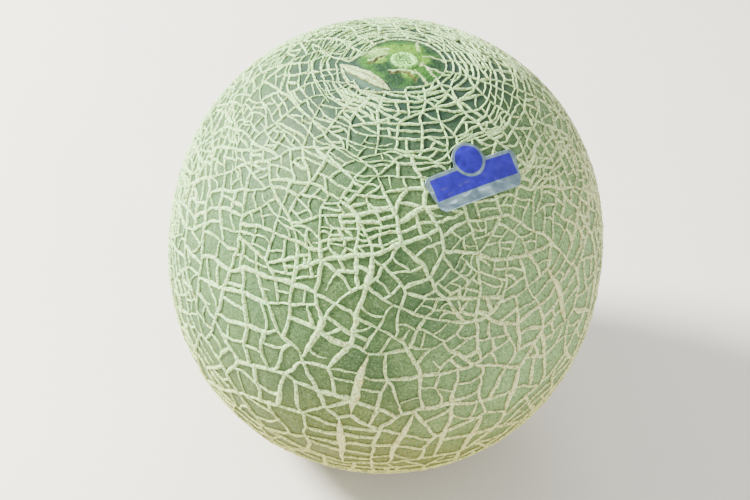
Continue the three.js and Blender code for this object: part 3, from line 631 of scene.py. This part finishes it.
def label_material():
    graph = NodeGraph("label_foil")
    along = graph.math("ABSOLUTE", graph.attribute("along"))
    up = graph.attribute("up")
    fine = graph.noise(260, 2)
    blue = graph.mix(graph.spread(fine, 0.3, 0.7), tint(20, 6, 124), tint(32, 14, 156))
    silver = graph.mix(graph.spread(fine, 0.3, 0.7), tint(108, 130, 140), tint(134, 160, 166))
    on_end = graph.spread(along, *FIELD_END)
    on_top = graph.spread(up, *FIELD_TOP)
    on_foot = graph.spread(up, *FIELD_FOOT)
    edge = graph.math("MAXIMUM", graph.math("MAXIMUM", on_end, on_top), on_foot)
    over_tab = graph.math("SUBTRACT", up, LABEL_TAB_ABOVE_MIDDLE)
    across = graph.times(along, along)
    away = graph.math("SQRT", graph.plus(across, graph.times(over_tab, over_tab)))
    in_tab = graph.spread(away, *TAB_EDGE)
    in_disc = graph.spread(away, *DISC_EDGE)
    with_tab = graph.math("MAXIMUM", edge, in_tab)
    foil = graph.times(with_tab, graph.math("SUBTRACT", 1.0, in_disc))
    color = graph.mix(foil, blue, silver)
    graph.links.new(graph.times(foil, 0.7), graph.shader.inputs["Metallic"])
    graph.bump(graph.noise(160, 2), 0.2, 0.0004)
    return graph.finish(color, graph.spread(fine, 0.2, 0.8, 0.26, 0.36), 0.5)


class CadNet:
    """The crest lines of the CAD net as a graph of unit directions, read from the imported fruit."""

    def __init__(self, node):
        mesh = node.data
        mesh.calc_loop_triangles()
        places = np.array([vertex.co for vertex in mesh.vertices]) * METRE - (0, 0, REST_DEPTH)
        rounded, inverse = np.unique(np.round(places, 2), axis=0, return_inverse=True)
        triangles = np.array([triangle.vertices for triangle in mesh.loop_triangles])
        triangles = inverse.reshape(-1)[triangles]
        self.directions = unit(rounded)
        self.height = np.linalg.norm(rounded, axis=1) - skin_distance(self.directions)
        around_axis = np.hypot(rounded[:, 0], rounded[:, 1])
        on_scar = (around_axis < SCAR_REACH) & (rounded[:, 2] > 0)
        crest = (self.height > CREST_HEIGHT_LEAST) & ~on_scar
        foot = self.height < FOOT_HEIGHT_MOST
        self.links = {}
        foot_sides = set()
        for corners in triangles:
            for order in range(3):
                start, end, tip = (int(corners[(order + turn) % 3]) for turn in range(3))
                if crest[start] and crest[end] and foot[tip]:
                    foot_sides.add((start, end))
                    self.links.setdefault(start, set()).add(end)
                    self.links.setdefault(end, set()).add(start)
        self.is_held = around_axis < HELD_REACH
        self.rings = self.cells()
        sides = [set(zip(ring, ring[1:] + ring[:1])) for ring in self.rings]
        high = [ring for ring, pairs in zip(self.rings, sides) if not pairs & foot_sides]
        self.lenses = [ring for ring in high if not self.is_at_pole(ring)]
        self.is_held[[index for ring in self.lenses for index in ring]] = True
        self.narrow_lenses()
        meeting = [index for index, others in self.links.items() if len(others) > 1]
        self.pairs = {index: self.straightest(index) for index in meeting}
        for round_number in range(RELAX_ROUNDS):
            self.relax()

    def narrow_lenses(self):
        """Draws the sides of the pointed areas towards the line between their two tips."""
        for ring in self.lenses:
            places = self.directions[ring]
            if float(latitude_of(unit(places.mean(0)))) > STRIP_LATITUDE_LEAST:
                continue
            gaps = np.linalg.norm(places[:, None] - places[None], axis=-1)
            tip, other = np.unravel_index(np.argmax(gaps), gaps.shape)
            run = places[other] - places[tip]
            shares = (places - places[tip]) @ run / (run @ run)
            line = places[tip] + shares[:, None] * run
            self.directions[ring] = unit(line + LENS_SHARE * (places - line))

    def straightest(self, index):
        """The two neighbours through which a cord runs on past this point."""
        here = self.directions[index]
        others = sorted(self.links[index])
        scored = []
        for order, first in enumerate(others):
            for second in others[order + 1 :]:
                ahead = unit(self.directions[first] - here)
                behind = unit(self.directions[second] - here)
                wide = WIDE_PULL * (self.width(first) + self.width(second))
                scored.append((wide - float(ahead @ behind), first, second))
        return max(scored)[1:]

    def relax(self):
        """Draws every junction towards the straight line between the two neighbours of its cord."""
        moved = self.directions.copy()
        for index, (first, second) in self.pairs.items():
            if self.is_held[index]:
                continue
            here, start = self.directions[index], self.directions[first]
            run = self.directions[second] - start
            share = np.clip((here - start) @ run / (run @ run), *RELAX_LIMITS)
            moved[index] = unit(here + RELAX_SHARE * (start + share * run - here))
        self.directions = moved

    def curve(self, start, end):
        """Points from one junction to the next, running smoothly on through both."""
        first, last = self.directions[start], self.directions[end]
        chord = last - first
        slopes = []
        for index, other, sign in ((start, end, 1), (end, start, -1)):
            slope = chord
            pair = self.pairs.get(index, ())
            if other in pair:
                far = pair[0] if pair[1] == other else pair[1]
                slope = unit(self.directions[other] - self.directions[far]) * sign * np.linalg.norm(chord)
            slopes.append(slope)
        t = np.linspace(0, 1, CURVE_POINTS)[:, None]
        points = (2 * t**3 - 3 * t**2 + 1) * first + (t**3 - 2 * t**2 + t) * slopes[0]
        points = points + (3 * t**2 - 2 * t**3) * last + (t**3 - t**2) * slopes[1]
        return unit(points)

    def is_at_pole(self, ring):
        """Whether a cell is the stem patch or the spot that the fruit rests on."""
        return abs(unit(self.directions[ring].sum(0))[2]) > math.cos(POLE_REACH)

    def ring_path(self, ring):
        """Points all round a cell along its curved borders."""
        sides = [self.curve(start, end)[:-1] for start, end in zip(ring, ring[1:] + ring[:1])]
        return np.concatenate(sides)

    def width(self, index):
        width = (self.height[index] - CREST_HEIGHT_BASE) / CREST_HEIGHT_PER_WIDTH
        return float(np.clip(width, *CAD_WIDTHS))

    def cords(self):
        return [(start, end) for start in self.links for end in self.links[start] if start < end]

    def cells(self):
        """Every cell as a ring of points, counter-clockwise from outside."""
        around = {}
        for index, others in self.links.items():
            direction = self.directions[index]
            east, north = compass(direction)
            axes = np.array([north, east]).T
            turns = {other: math.atan2(*(self.directions[other] @ axes)) for other in others}
            around[index] = sorted(others, key=turns.get)
        seen = set()
        rings = []
        for first, others in self.links.items():
            for second in others:
                ring = []
                start, end = first, second
                while (start, end) not in seen:
                    seen.add((start, end))
                    ring.append(start)
                    turn = around[end]
                    start, end = end, turn[(turn.index(start) - 1) % len(turn)]
                if ring:
                    rings.append(ring)
        return rings


def compass(direction):
    east = unit(np.array([-direction[1], direction[0], 0.0]))
    return east, np.cross(direction, east)


def to_flat(directions, middle):
    east, north = compass(middle)
    scale = MEAN_RADIUS / (directions @ middle)
    return np.stack([directions @ east * scale, directions @ north * scale], -1)


def from_flat(flat, middle):
    east, north = compass(middle)
    return unit(middle + (flat[..., :1] * east + flat[..., 1:] * north) / MEAN_RADIUS)


def polygon_area(flat):
    x, y = flat[:, 0], flat[:, 1]
    return 0.5 * float(np.sum(x * np.roll(y, -1) - y * np.roll(x, -1)))


def cut_ring(flat, place, heading):
    """Cuts a ring along a line: the two meetings nearest to the place, and the two rings left."""
    side = np.array([-heading[1], heading[0]])
    reach = (flat - place) @ side
    meetings = []
    for order in range(len(flat)):
        after = (order + 1) % len(flat)
        if (reach[order] > 0) == (reach[after] > 0):
            continue
        share = reach[order] / (reach[order] - reach[after])
        point = flat[order] + share * (flat[after] - flat[order])
        meetings.append((float((point - place) @ heading), order, point))
    ahead = sorted(m for m in meetings if m[0] > 0) if meetings else []
    behind = sorted((m for m in meetings if m[0] <= 0), reverse=True)
    if not ahead or not behind:
        return None
    first, second = sorted([ahead[0], behind[0]], key=lambda meeting: meeting[1])
    left = [*flat[: first[1] + 1], first[2], second[2], *flat[second[1] + 1 :]]
    right = [first[2], *flat[first[1] + 1 : second[1] + 1], second[2]]
    return first[2], second[2], np.array(left), np.array(right)


def bowed(first, second, bow):
    """Points of a shallow arch between two places, without its ends."""
    shares = np.array([0.25, 0.5, 0.75])[:, None]
    return first + (second - first) * shares + bow * 4 * shares * (1 - shares)


def cut_with_arch(flat, place, heading, bow):
    """Cuts a ring by an arch: the arch's points and the two rings left."""
    first, second, left, right = cut_ring(flat, place, heading)
    arch = bowed(first, second, bow)
    start = int(np.argmin(np.hypot(*(left - first).T)))
    left = np.concatenate([left[: start + 1], arch, left[start + 1 :]])
    right = np.concatenate([right, arch[::-1]])
    return np.array([first, *arch, second]), left, right


def cord_of(path, width, spindle, is_free=False):
    return {"path": path, "width": width, "spindle": spindle, "free": is_free}


def divide(flat, middle, cords):
    """Cracks a cell across until its parts are as small as the zone's cells are."""
    area = polygon_area(flat)
    center = flat.mean(0)
    cell_area, cord_width, pull = fine_zone(from_flat(center, middle))
    if area < cell_area * draws.uniform(*AREA_SPREAD):
        return
    place = center + draws.normal(0, OFF_MIDDLE, 2) * math.sqrt(area)
    start = draws.uniform(0, math.pi)
    best = None
    for turn in np.arange(HEADINGS) * math.pi / HEADINGS + start:
        heading = np.array([math.cos(turn), math.sin(turn)])
        cut = cut_ring(flat, place, heading)
        if cut is None:
            continue
        length = float(np.hypot(*(cut[1] - cut[0])))
        share = min(polygon_area(cut[2]), polygon_area(cut[3])) / area
        if share < PART_LEAST:
            continue
        cost = length * (1 - pull * math.cos(2 * turn)) * draws.uniform(*LENGTH_SPREAD)
        if best is None or cost < best[0]:
            best = (cost, heading, length)
    if best is None:
        return
    heading, length = best[1:]
    bow = np.array([-heading[1], heading[0]]) * draws.normal(0, BOW_SPREAD) * length
    path, left, right = cut_with_arch(flat, place, heading, bow)
    width = cord_width * draws.uniform(*WIDTH_SPREAD)
    is_free = area < cell_area * LAST_CUT_AREA and draws.uniform() < FREE_END_SHARE
    if is_free:
        path = path[: draws.integers(*FREE_END_POINTS)]
    spindle = draws.uniform(*SPINDLE_SPREAD)
    cords.append(cord_of(from_flat(path, middle), width, spindle, is_free))
    if not is_free:
        divide(left, middle, cords)
        divide(right, middle, cords)


def cut_by_rings(flat, middle, cords):
    """Cuts a cell near the stem along the fine rings that cross it, and returns its parts."""
    parts = [flat]
    for radius in FINE_RINGS if middle[2] > 0 else []:
        kept = []
        for part in parts:
            directions = from_flat(part, middle)
            reach = np.hypot(*over_skin(directions, 0.0)[:, :2].T) - radius
            crossings = [i for i in range(len(part)) if (reach[i] > 0) != (reach[(i + 1) % len(part)] > 0)]
            if len(crossings) != 2:
                kept.append(part)
                continue
            ends = []
            for order in crossings:
                after = (order + 1) % len(part)
                share = reach[order] / (reach[order] - reach[after])
                ends.append(part[order] + share * (part[after] - part[order]))
            center = from_flat(np.mean(ends, 0), middle)
            bearing = math.degrees(math.atan2(center[0], -center[1]))
            top = to_flat(crown_direction(radius, bearing), middle)
            first, second = ends
            arch = bowed(first, second, top - (first + second) / 2)
            low, high = crossings
            left = np.array([*part[: low + 1], first, *arch, second, *part[high + 1 :]])
            right = np.array([first, *part[low + 1 : high + 1], second, *arch[::-1]])
            if min(abs(polygon_area(left)), abs(polygon_area(right))) < RING_PART_LEAST:
                kept.append(part)
                continue
            path = from_flat(np.array([first, *arch, second]), middle)
            width = RING_WIDTH * draws.uniform(*RING_WIDTH_SPREAD)
            cords.append(cord_of(path, width, RING_SPINDLE))
            kept += [left, right]
        parts = kept
    return parts


def lengths_along(points, scale=1.0):
    """Length of the way from the first point to each point."""
    steps = np.linalg.norm(np.diff(points, axis=0), axis=1) * scale
    return np.concatenate([[0], np.cumsum(steps)])


def evenly_spaced(points, along, count):
    places = np.linspace(0, along[-1], count)
    return np.stack([np.interp(places, along, points[:, axis]) for axis in range(3)], -1)


def dense_path(directions):
    """The same run of directions with points a short step apart, bent by the warp."""
    along = lengths_along(directions, MEAN_RADIUS)
    count = max(3, int(round(along[-1] / CORD_STEP)) + 1)
    return warp(unit(evenly_spaced(directions, along, count)))


def smoothed(values):
    """A run of values with its kinks rounded off and its ends kept."""
    for round_number in range(SMOOTH_ROUNDS):
        inner = (values[:-2] + 2 * values[1:-1] + values[2:]) / 4
        values = np.concatenate([values[:1], inner, values[-1:]])
    return values


def lens_shape(directions):
    """Middle line and widths of a pointed area, given as a ring of directions."""
    gaps = np.linalg.norm(directions[:, None] - directions[None], axis=-1)
    tip, other = sorted(np.unravel_index(np.argmax(gaps), gaps.shape))
    back = np.concatenate([directions[other:], directions[: tip + 1]])[::-1]
    count = max(12, int(gaps.max() * MEAN_RADIUS / CORD_STEP))
    sides = [evenly_spaced(side, lengths_along(side), count) for side in (directions[tip : other + 1], back)]
    widths = np.linalg.norm(sides[0] - sides[1], axis=1) * MEAN_RADIUS
    return unit(smoothed(sides[0] + sides[1])), smoothed(widths)


class Ribbons:
    """Collects raised bands laid along paths over the skin, each one a closed body."""

    def __init__(self):
        self.vertices = []
        self.faces = {}
        self.values = {"rise": [], "tone": [], "breadth": [], "groove": []}
        self.count = 0

    def add(self, directions, widths, heights, section, tone, breadth):
        mirrored = [(-share, rise) for share, rise in section] + section[::-1][1:]
        across = np.array([share for share, rise in mirrored])
        is_foot = np.array([rise is None for share, rise in mirrored])
        rises = np.array([0.0 if rise is None else rise for share, rise in mirrored])
        run = np.gradient(directions, axis=0)
        side = unit(np.cross(directions, run))
        base = directions * skin_distance(directions)[:, None]
        offset = side[:, None] * (across[None, :, None] * widths[:, None, None])
        up = np.where(is_foot[None], -CORD_SINK, heights[:, None] * rises[None])
        points = base[:, None] + offset + directions[:, None] * up[..., None]
        rows, columns = points.shape[:2]
        grid = self.count + np.arange(rows * columns).reshape(rows, columns)
        self.faces.setdefault(4, []).append(loop_quads(grid)[:, ::-1])
        self.faces.setdefault(columns, []).append(np.stack([grid[0][::-1], grid[-1]]))
        self.vertices.append(points.reshape(-1, 3))
        groove = bell(across, GROOVE_REACH) if section is STRIP_SECTION else across * 0.0
        for key, value in (("rise", rises), ("tone", tone), ("breadth", breadth), ("groove", groove)):
            self.values[key].append(np.broadcast_to(value, (rows, columns)).ravel())
        self.count += rows * columns

    def build(self, name, material, roughness):
        """One mesh of all the bands, its surface roughened like cork."""
        vertices = np.concatenate(self.vertices)
        rise = np.concatenate(self.values["rise"])
        pushes = []
        for vertex in vertices:
            place = Vector(vertex)
            grain = [noise.noise_vector(place / wave) * share for wave, share in CORK_GRAIN]
            pushes.append(sum(grain, Vector()))
        shares = roughness * (FOOT_GRAIN + (1 - FOOT_GRAIN) * rise)
        vertices = vertices + np.array(pushes) * shares[:, None]
        faces = [np.concatenate(parts) for parts in self.faces.values()]
        values = {key: np.concatenate(parts) for key, parts in self.values.items()}
        return mesh_object(name, vertices, faces, material, values)


def cord_band(ribbons, cord):
    """Adds one cord, run a little into what it meets, or thinned out to a free end."""
    directions = dense_path(cord["path"])
    width = cord["width"]
    first, last = directions[0], directions[-1]
    reach = CORD_REACH * width / MEAN_RADIUS
    before = unit(first + unit(first - directions[1]) * reach)
    after = unit(last + unit(last - directions[-2]) * reach)
    directions = np.concatenate([[before], directions, [after]])
    places = directions * MEAN_RADIUS
    share = np.linspace(0, 1, len(places))
    spindle = 1 + cord["spindle"] * (np.sin(math.pi * share) ** 0.8 - 0.6)
    widths = width * np.clip(swell(places, CORD_SWELL), *SWELL_LIMITS) * spindle
    heights = CORD_HEIGHT_BASE + CORD_HEIGHT_PER_WIDTH * np.minimum(widths, CORD_WIDTH_TALLEST)
    heights = heights * swell(places, CORD_RISE)
    widths[[0, -1]] *= END_WIDTH
    heights[[0, -1]] *= END_HEIGHT
    if cord["free"]:
        fade = np.clip(np.arange(len(widths))[::-1] / FADE_POINTS, 0.1, 1)
        widths *= fade**0.5
        heights *= fade
    breadth = float(np.clip((width - BROAD_FROM) / BROAD_RANGE, 0, 1))
    ribbons.add(directions, widths, heights, ROUND_SECTION, float(draws.uniform()), breadth)


def lens_band(ribbons, middle, widths, height, section, rim):
    """Adds a spindle of cork over a pointed area, as wide as the area and the rims round it."""
    dense = unit(middle + warp(middle))
    places = dense * MEAN_RADIUS
    share = np.linspace(-1, 1, len(places))
    ends = np.clip(1 - np.abs(share) ** 2.4, 0.1, 1) ** 0.8
    bands = (0.75 * widths.max() + 0.25 * widths + rim) * swell(places, LENS_SWELL) * ends
    heights = height * (0.45 + 0.55 * ends) * swell(places, LENS_RISE)
    ribbons.add(dense, bands, heights, section, float(draws.uniform()), 1.0)


def sphere_grid(steps):
    """Unit directions of a cube blown up to a ball, and its four-sided faces."""
    turn = np.tan(np.linspace(-math.pi / 4, math.pi / 4, steps + 1))
    first, second = np.meshgrid(turn, turn, indexing="ij")
    ones = np.ones_like(first)
    sides = [
        (first, second, ones), (second, first, -ones), (ones, first, second),
        (-ones, second, first), (second, ones, first), (first, -ones, second),
    ]
    places = unit(np.concatenate([np.stack(side, -1).reshape(-1, 3) for side in sides]))
    keys, inverse = np.unique(np.round(places, 6), axis=0, return_inverse=True)
    numbers = inverse.reshape(-1).reshape(6, steps + 1, steps + 1)
    return unit(keys), np.concatenate([grid_quads(side) for side in numbers])


def near_cords(points, tree, widths):
    """Distance of each point from the edge of the nearest cord."""
    gaps = []
    for point in points:
        place, index, distance = tree.find(point)
        gaps.append(distance - widths[index] / 2)
    return np.maximum(0, np.array(gaps))


def patch_stretch(bearings):
    """How far the stem patch reaches out at each bearing, as it runs on to the corky strip."""
    turned = (np.asarray(bearings) + 180) % 360 - 180
    return np.interp(turned, PATCH_BEARINGS, PATCH_STRETCHES)


def bearing_of(x, y):
    return np.degrees(np.arctan2(x, -y))


def build_rind(tree, widths, material):
    directions, quads = sphere_grid(RIND_STEPS)
    base = over_skin(directions, 0.0)
    gap = near_cords(base, tree, widths)
    around_axis = np.hypot(base[:, 0], base[:, 1])
    height = RIND_SWELL * (1 - bell(gap, RIND_SWELL_REACH))
    height = height + RIND_WAVE_HEIGHT * smooth_noise(base, RIND_WAVE, 2.0)
    on_crown = base[:, 2] > 0
    edge = PATCH_RADIUS * patch_stretch(bearing_of(base[:, 0], base[:, 1]))
    under_patch = np.clip((edge - PATCH_OVERLAP - around_axis) / PATCH_BORDER, 0, 1) * on_crown
    height = height - PATCH_SINK * under_patch
    points = over_skin(directions, height)
    share = np.clip((REST_RADIUS + REST_BORDER - around_axis) / REST_BORDER, 0, 1) * ~on_crown
    points[:, 2] += share * (-REST_DEPTH - points[:, 2])
    bed = crack_depth(base[:, :2], CRESCENT) * on_crown
    # The rind's share of painted shadow beside the cords.
    values = {"cord_shadow": np.exp(-gap / CORD_SHADOW_REACH), "bed": bed}
    return mesh_object("fine_rind", points, [quads], material, values)


def crown_line(points):
    """Unit directions of a run of level places near the stem."""
    x, y = np.array(points, float).T
    return crown_direction(np.hypot(x, y), bearing_of(x, y))


def crack_depth(places, crack):
    """Share, from 0 to 1, of how far into a crack each level place is."""
    half, points = crack
    points = np.array(points)
    nearest = np.full(len(places), np.inf)
    for start, end in zip(points[:-1], points[1:]):
        run = end - start
        share = np.clip((places - start) @ run / (run @ run), 0, 1)
        nearest = np.minimum(nearest, np.hypot(*(places - start - share[:, None] * run).T))
    return bell(nearest, half)


def build_stem_end(material):
    radii = np.linspace(STEM_MIDDLE, STEM_RADII[-1], STEM_RINGS)
    turns = np.linspace(0, 360, STEM_SPOKES, endpoint=False)
    radius, turn = (part.ravel() for part in np.meshgrid(radii, turns, indexing="ij"))
    outer = np.clip((radius - SCAR_RADIUS) / (PATCH_RADIUS - SCAR_RADIUS), 0, 1)
    reach = radius * (1 + (patch_stretch(turn) - 1) * outer)
    directions = crown_direction(reach, turn)
    level = np.stack([reach * np.sin(np.radians(turn)), -reach * np.cos(np.radians(turn))], -1)
    wander = smooth_noise(over_skin(directions, 0.0), STEM_WAVE, 1.0)
    height = np.interp(radius + 0.28 * wander, STEM_RADII, STEM_RISES)
    fine = smooth_noise(over_skin(directions, 0.0), STEM_GRAIN, 9.0)
    height += fine * np.where(radius < SCAR_RADIUS, SCAR_GRAIN_HEIGHT, PATCH_GRAIN_HEIGHT) + 0.1 * wander
    bent = level + np.stack([fine, wander], -1) * 0.9
    groove = np.max([crack_depth(bent, crack) for crack in STEM_CRACKS], 0)
    seam = np.max([crack_depth(bent, crack) for crack in STEM_SEAMS], 0)
    outside = radius > SCAR_RADIUS
    height += np.where(outside, SEAM_HEIGHT * seam, 0)
    height -= np.where(outside, CRACK_DEPTH, SCAR_CRACK_DEPTH) * groove
    values = {"away": radius + 0.3 * fine, "groove": groove, "seam": seam * outside}
    for key, stains in STEM_STAINS.items():
        gaps = [np.hypot(bent[:, 0] - x, bent[:, 1] - y) / wide for x, y, wide in stains]
        values[key] = np.clip(np.max(np.exp(-(np.array(gaps) ** 4)), 0) * (1 + 0.8 * fine), 0, 1)
    grid = np.arange(STEM_RINGS * STEM_SPOKES).reshape(STEM_RINGS, STEM_SPOKES)
    faces = [loop_quads(grid), grid[0][None]]
    return mesh_object("stem_end", over_skin(directions, height), faces, material, values)


def label_edges(along):
    """Lower and upper edge of the label at distances along it."""
    half = LABEL_HEIGHT / 2
    past = np.maximum(0, np.abs(along) - (LABEL_LENGTH / 2 - LABEL_CORNER))
    drop = LABEL_CORNER - np.sqrt(np.maximum(0, LABEL_CORNER**2 - past**2))
    tab = LABEL_TAB_RADIUS**2 - along**2
    tab_top = np.where(tab > 0, LABEL_TAB_ABOVE_MIDDLE + np.sqrt(np.maximum(tab, 0)), -half)
    return drop - half, np.maximum(half - drop, tab_top)


def build_label(tree, widths, material):
    middle = toward(LABEL_LATITUDE, LABEL_LONGITUDE)
    east, north = compass(middle)
    turn = math.radians(LABEL_RISE)
    run = east * math.cos(turn) + north * math.sin(turn)
    rise = north * math.cos(turn) - east * math.sin(turn)
    along = np.linspace(-LABEL_LENGTH / 2, LABEL_LENGTH / 2, LABEL_COLUMNS)
    lower, upper = label_edges(along)
    up = lower[:, None] + (upper - lower)[:, None] * np.linspace(0, 1, LABEL_ROWS)[None]
    along = along[:, None] * (1 - LABEL_TAPER * np.maximum(0, 0.5 - up / LABEL_HEIGHT))
    offset = (along[..., None] * run + up[..., None] * rise).reshape(-1, 3)
    length = np.linalg.norm(offset, axis=1, keepdims=True)
    angle = length / MEAN_RADIUS
    directions = unit(middle * np.cos(angle) + offset / np.maximum(length, 1e-9) * np.sin(angle))
    gap = near_cords(over_skin(directions, 0.0), tree, widths)
    lift = LABEL_LIFT + LABEL_BEDDING * bell(gap, LABEL_BEDDING_REACH)
    lift = lift + LABEL_WAVE_HEIGHT * smooth_noise(directions * MEAN_RADIUS, LABEL_WAVE)
    under, over = over_skin(directions, lift), over_skin(directions, lift + LABEL_THICKNESS)
    count = LABEL_COLUMNS * LABEL_ROWS
    top = np.arange(count).reshape(LABEL_COLUMNS, LABEL_ROWS)
    quads = grid_quads(top)
    rim = np.concatenate([top[:-1, 0], top[-1, :-1], top[:0:-1, -1], top[0, :0:-1]])
    sides = np.stack([rim, rim + count, np.roll(rim, -1) + count, np.roll(rim, -1)], -1)
    faces = [np.concatenate([quads, quads[:, ::-1] + count, sides])]
    values = {"along": np.tile(along.ravel(), 2), "up": np.tile(up.ravel(), 2)}
    return mesh_object("label_sheet", np.concatenate([over, under]), faces, material, values)


def finer_share(direction):
    """How much finer a CAD cord is drawn: more so beside the stem, where the net is finest."""
    if direction[2] <= 0:
        return FINER_SHARE_BELOW
    reach = math.hypot(direction[0], direction[1]) * MEAN_RADIUS
    return float(np.interp(reach, FINER_REACHES, FINER_SHARES))


def build_net(cad):
    """All cords of the fine net and the pointed corky areas, from the CAD net's cells."""
    cords = []
    lenses = [cad.directions[ring] for ring in cad.lenses]
    sides = [side for ring in cad.lenses for side in zip(ring, ring[1:] + ring[:1])]
    rims = {tuple(sorted(side)) for side in sides}
    for ring in cad.rings:
        directions = cad.ring_path(ring)
        middle = unit(directions.sum(0))
        if cad.is_at_pole(ring) or ring in cad.lenses:
            continue
        flat = to_flat(directions, middle)
        if polygon_area(flat) < 0:
            continue
        for part in cut_by_rings(flat, middle, cords):
            divide(part if polygon_area(part) > 0 else part[::-1], middle, cords)
    for start, end in cad.cords():
        if (start, end) in rims:
            continue
        width = min(cad.width(start), cad.width(end)) * finer_share(cad.directions[start])
        cords.append(cord_of(cad.curve(start, end), width, CORD_SPINDLE))
    cords += [cord_of(crown_line(points), width, CORD_SPINDLE) for width, points in CROWN_CORDS]
    return cords, lenses


def latitude_of_run(directions):
    return float(latitude_of(unit(directions.mean(0))))


def zone_of(directions):
    """Name of the net's piece that a run of directions belongs to."""
    latitude = latitude_of_run(directions)
    return next(name for name, (low, high) in NET_ZONES.items() if low <= latitude < high)


def lay_net(cords, lenses):
    """Lays all cords and pointed areas, and returns the bands with the cords' places and widths."""
    net = {name: Ribbons() for name in NET_ZONES}
    strip = Ribbons()
    samples, sample_widths = [], []
    for cord in cords:
        cord_band(net[zone_of(cord["path"])], cord)
        dense = dense_path(cord["path"])
        samples.append(over_skin(dense, 0.0))
        sample_widths += [cord["width"]] * len(dense)
    for directions in lenses:
        middle, widths = lens_shape(directions)
        if latitude_of_run(middle) > STRIP_LATITUDE_LEAST:
            front = crown_line(STRIP_FRONT_LINE)
            cord_band(strip, cord_of(front, STRIP_FRONT_WIDTH, STRIP_FRONT_SPINDLE))
            middle = dense_path(crown_line(STRIP_LINE))
            share = np.linspace(-1, 1, len(middle))
            widths = STRIP_WIDTH * (1 - STRIP_TAPER * np.abs(share) ** 2.6)
            lens_band(strip, middle, widths, STRIP_HEIGHT, STRIP_SECTION, 0.0)
        else:
            lens_band(net[zone_of(middle)], middle, widths, LENS_HEIGHT, BROAD_SECTION, RIM_WIDTH)
            widths = widths + RIM_WIDTH
        samples.append(over_skin(warp(middle), 0.0))
        sample_widths += list(widths)
    return net, strip, np.concatenate(samples), sample_widths


cad = CadNet(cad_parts["melon"])
net, strip, places, sample_widths = lay_net(*build_net(cad))
tree = KDTree(len(places))
for index, place in enumerate(places):
    tree.insert(place, index)
tree.balance()

cork = cork_material()
pieces = [ribbons.build(name, cork, NET_ROUGHNESS) for name, ribbons in net.items()]
pieces.append(strip.build("cork_strip", strip_material(), STRIP_ROUGHNESS))
pieces.append(build_rind(tree, sample_widths, rind_material()))
pieces.append(build_stem_end(stem_material()))
for piece in pieces:
    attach(piece, "root")
    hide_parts("melon")

label = build_label(tree, sample_widths, label_material())
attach(label, "root")
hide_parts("label")


def floor_material(color):
    graph = NodeGraph("floor")
    darker = tuple(c * 0.97 for c in color[:3]) + (1,)
    shade = graph.mix(graph.spread(graph.noise(6, 2), 0.3, 0.7), color, darker)
    return graph.finish(shade, 0.8, 0.2)


def add_floor():
    mesh = bpy.data.meshes.new("floor")
    corners = [(x * FLOOR_HALF, y * FLOOR_HALF, 0) for x, y in ((-1, -1), (1, -1), (1, 1), (-1, 1))]
    mesh.from_pydata(corners, [], [(0, 1, 2, 3)])
    mesh.materials.append(floor_material(tint(232, 226, 214)))
    floor = bpy.data.objects.new("floor", mesh)
    bpy.context.scene.collection.objects.link(floor)


def add_light(name, place, size, power, color):
    data = bpy.data.lights.new(name, "AREA")
    data.shape = "DISK"
    data.size = size
    data.energy = power
    data.color = color
    light = bpy.data.objects.new(name, data)
    light.location = place
    aim = FRUIT_MIDDLE - Vector(place)
    light.rotation_euler = aim.to_track_quat("-Z", "Y").to_euler()
    bpy.context.scene.collection.objects.link(light)


def add_camera():
    down = math.radians(LOOK_DOWN)
    forward = Vector((0, math.cos(down), -math.sin(down)))
    data = bpy.data.cameras.new("camera")
    data.lens = CAMERA_LENS
    data.sensor_width = SENSOR_WIDTH
    data.shift_x = -(AXIS_ACROSS - PHOTO_WIDTH / 2) / PHOTO_WIDTH
    data.shift_y = (AXIS_DOWN - PHOTO_HEIGHT / 2) / PHOTO_WIDTH
    camera = bpy.data.objects.new("camera", data)
    turn = forward.to_track_quat("-Z", "Y").to_matrix().to_4x4()
    roll = Matrix.Rotation(math.radians(CAMERA_ROLL), 4, "Z")
    camera.matrix_world = Matrix.Translation(FRUIT_MIDDLE - forward * CAMERA_DISTANCE) @ turn @ roll
    bpy.context.scene.collection.objects.link(camera)
    bpy.context.scene.camera = camera


def add_world():
    world = bpy.data.worlds.new("world")
    bpy.context.scene.world = world
    world.use_nodes = True
    background = world.node_tree.nodes["Background"]
    background.inputs["Color"].default_value = WORLD_COLOR
    background.inputs["Strength"].default_value = WORLD_STRENGTH


add_floor()
for name, (place, size, power, color) in LIGHTS.items():
    add_light(name, place, size, power, color)
add_camera()
add_world()
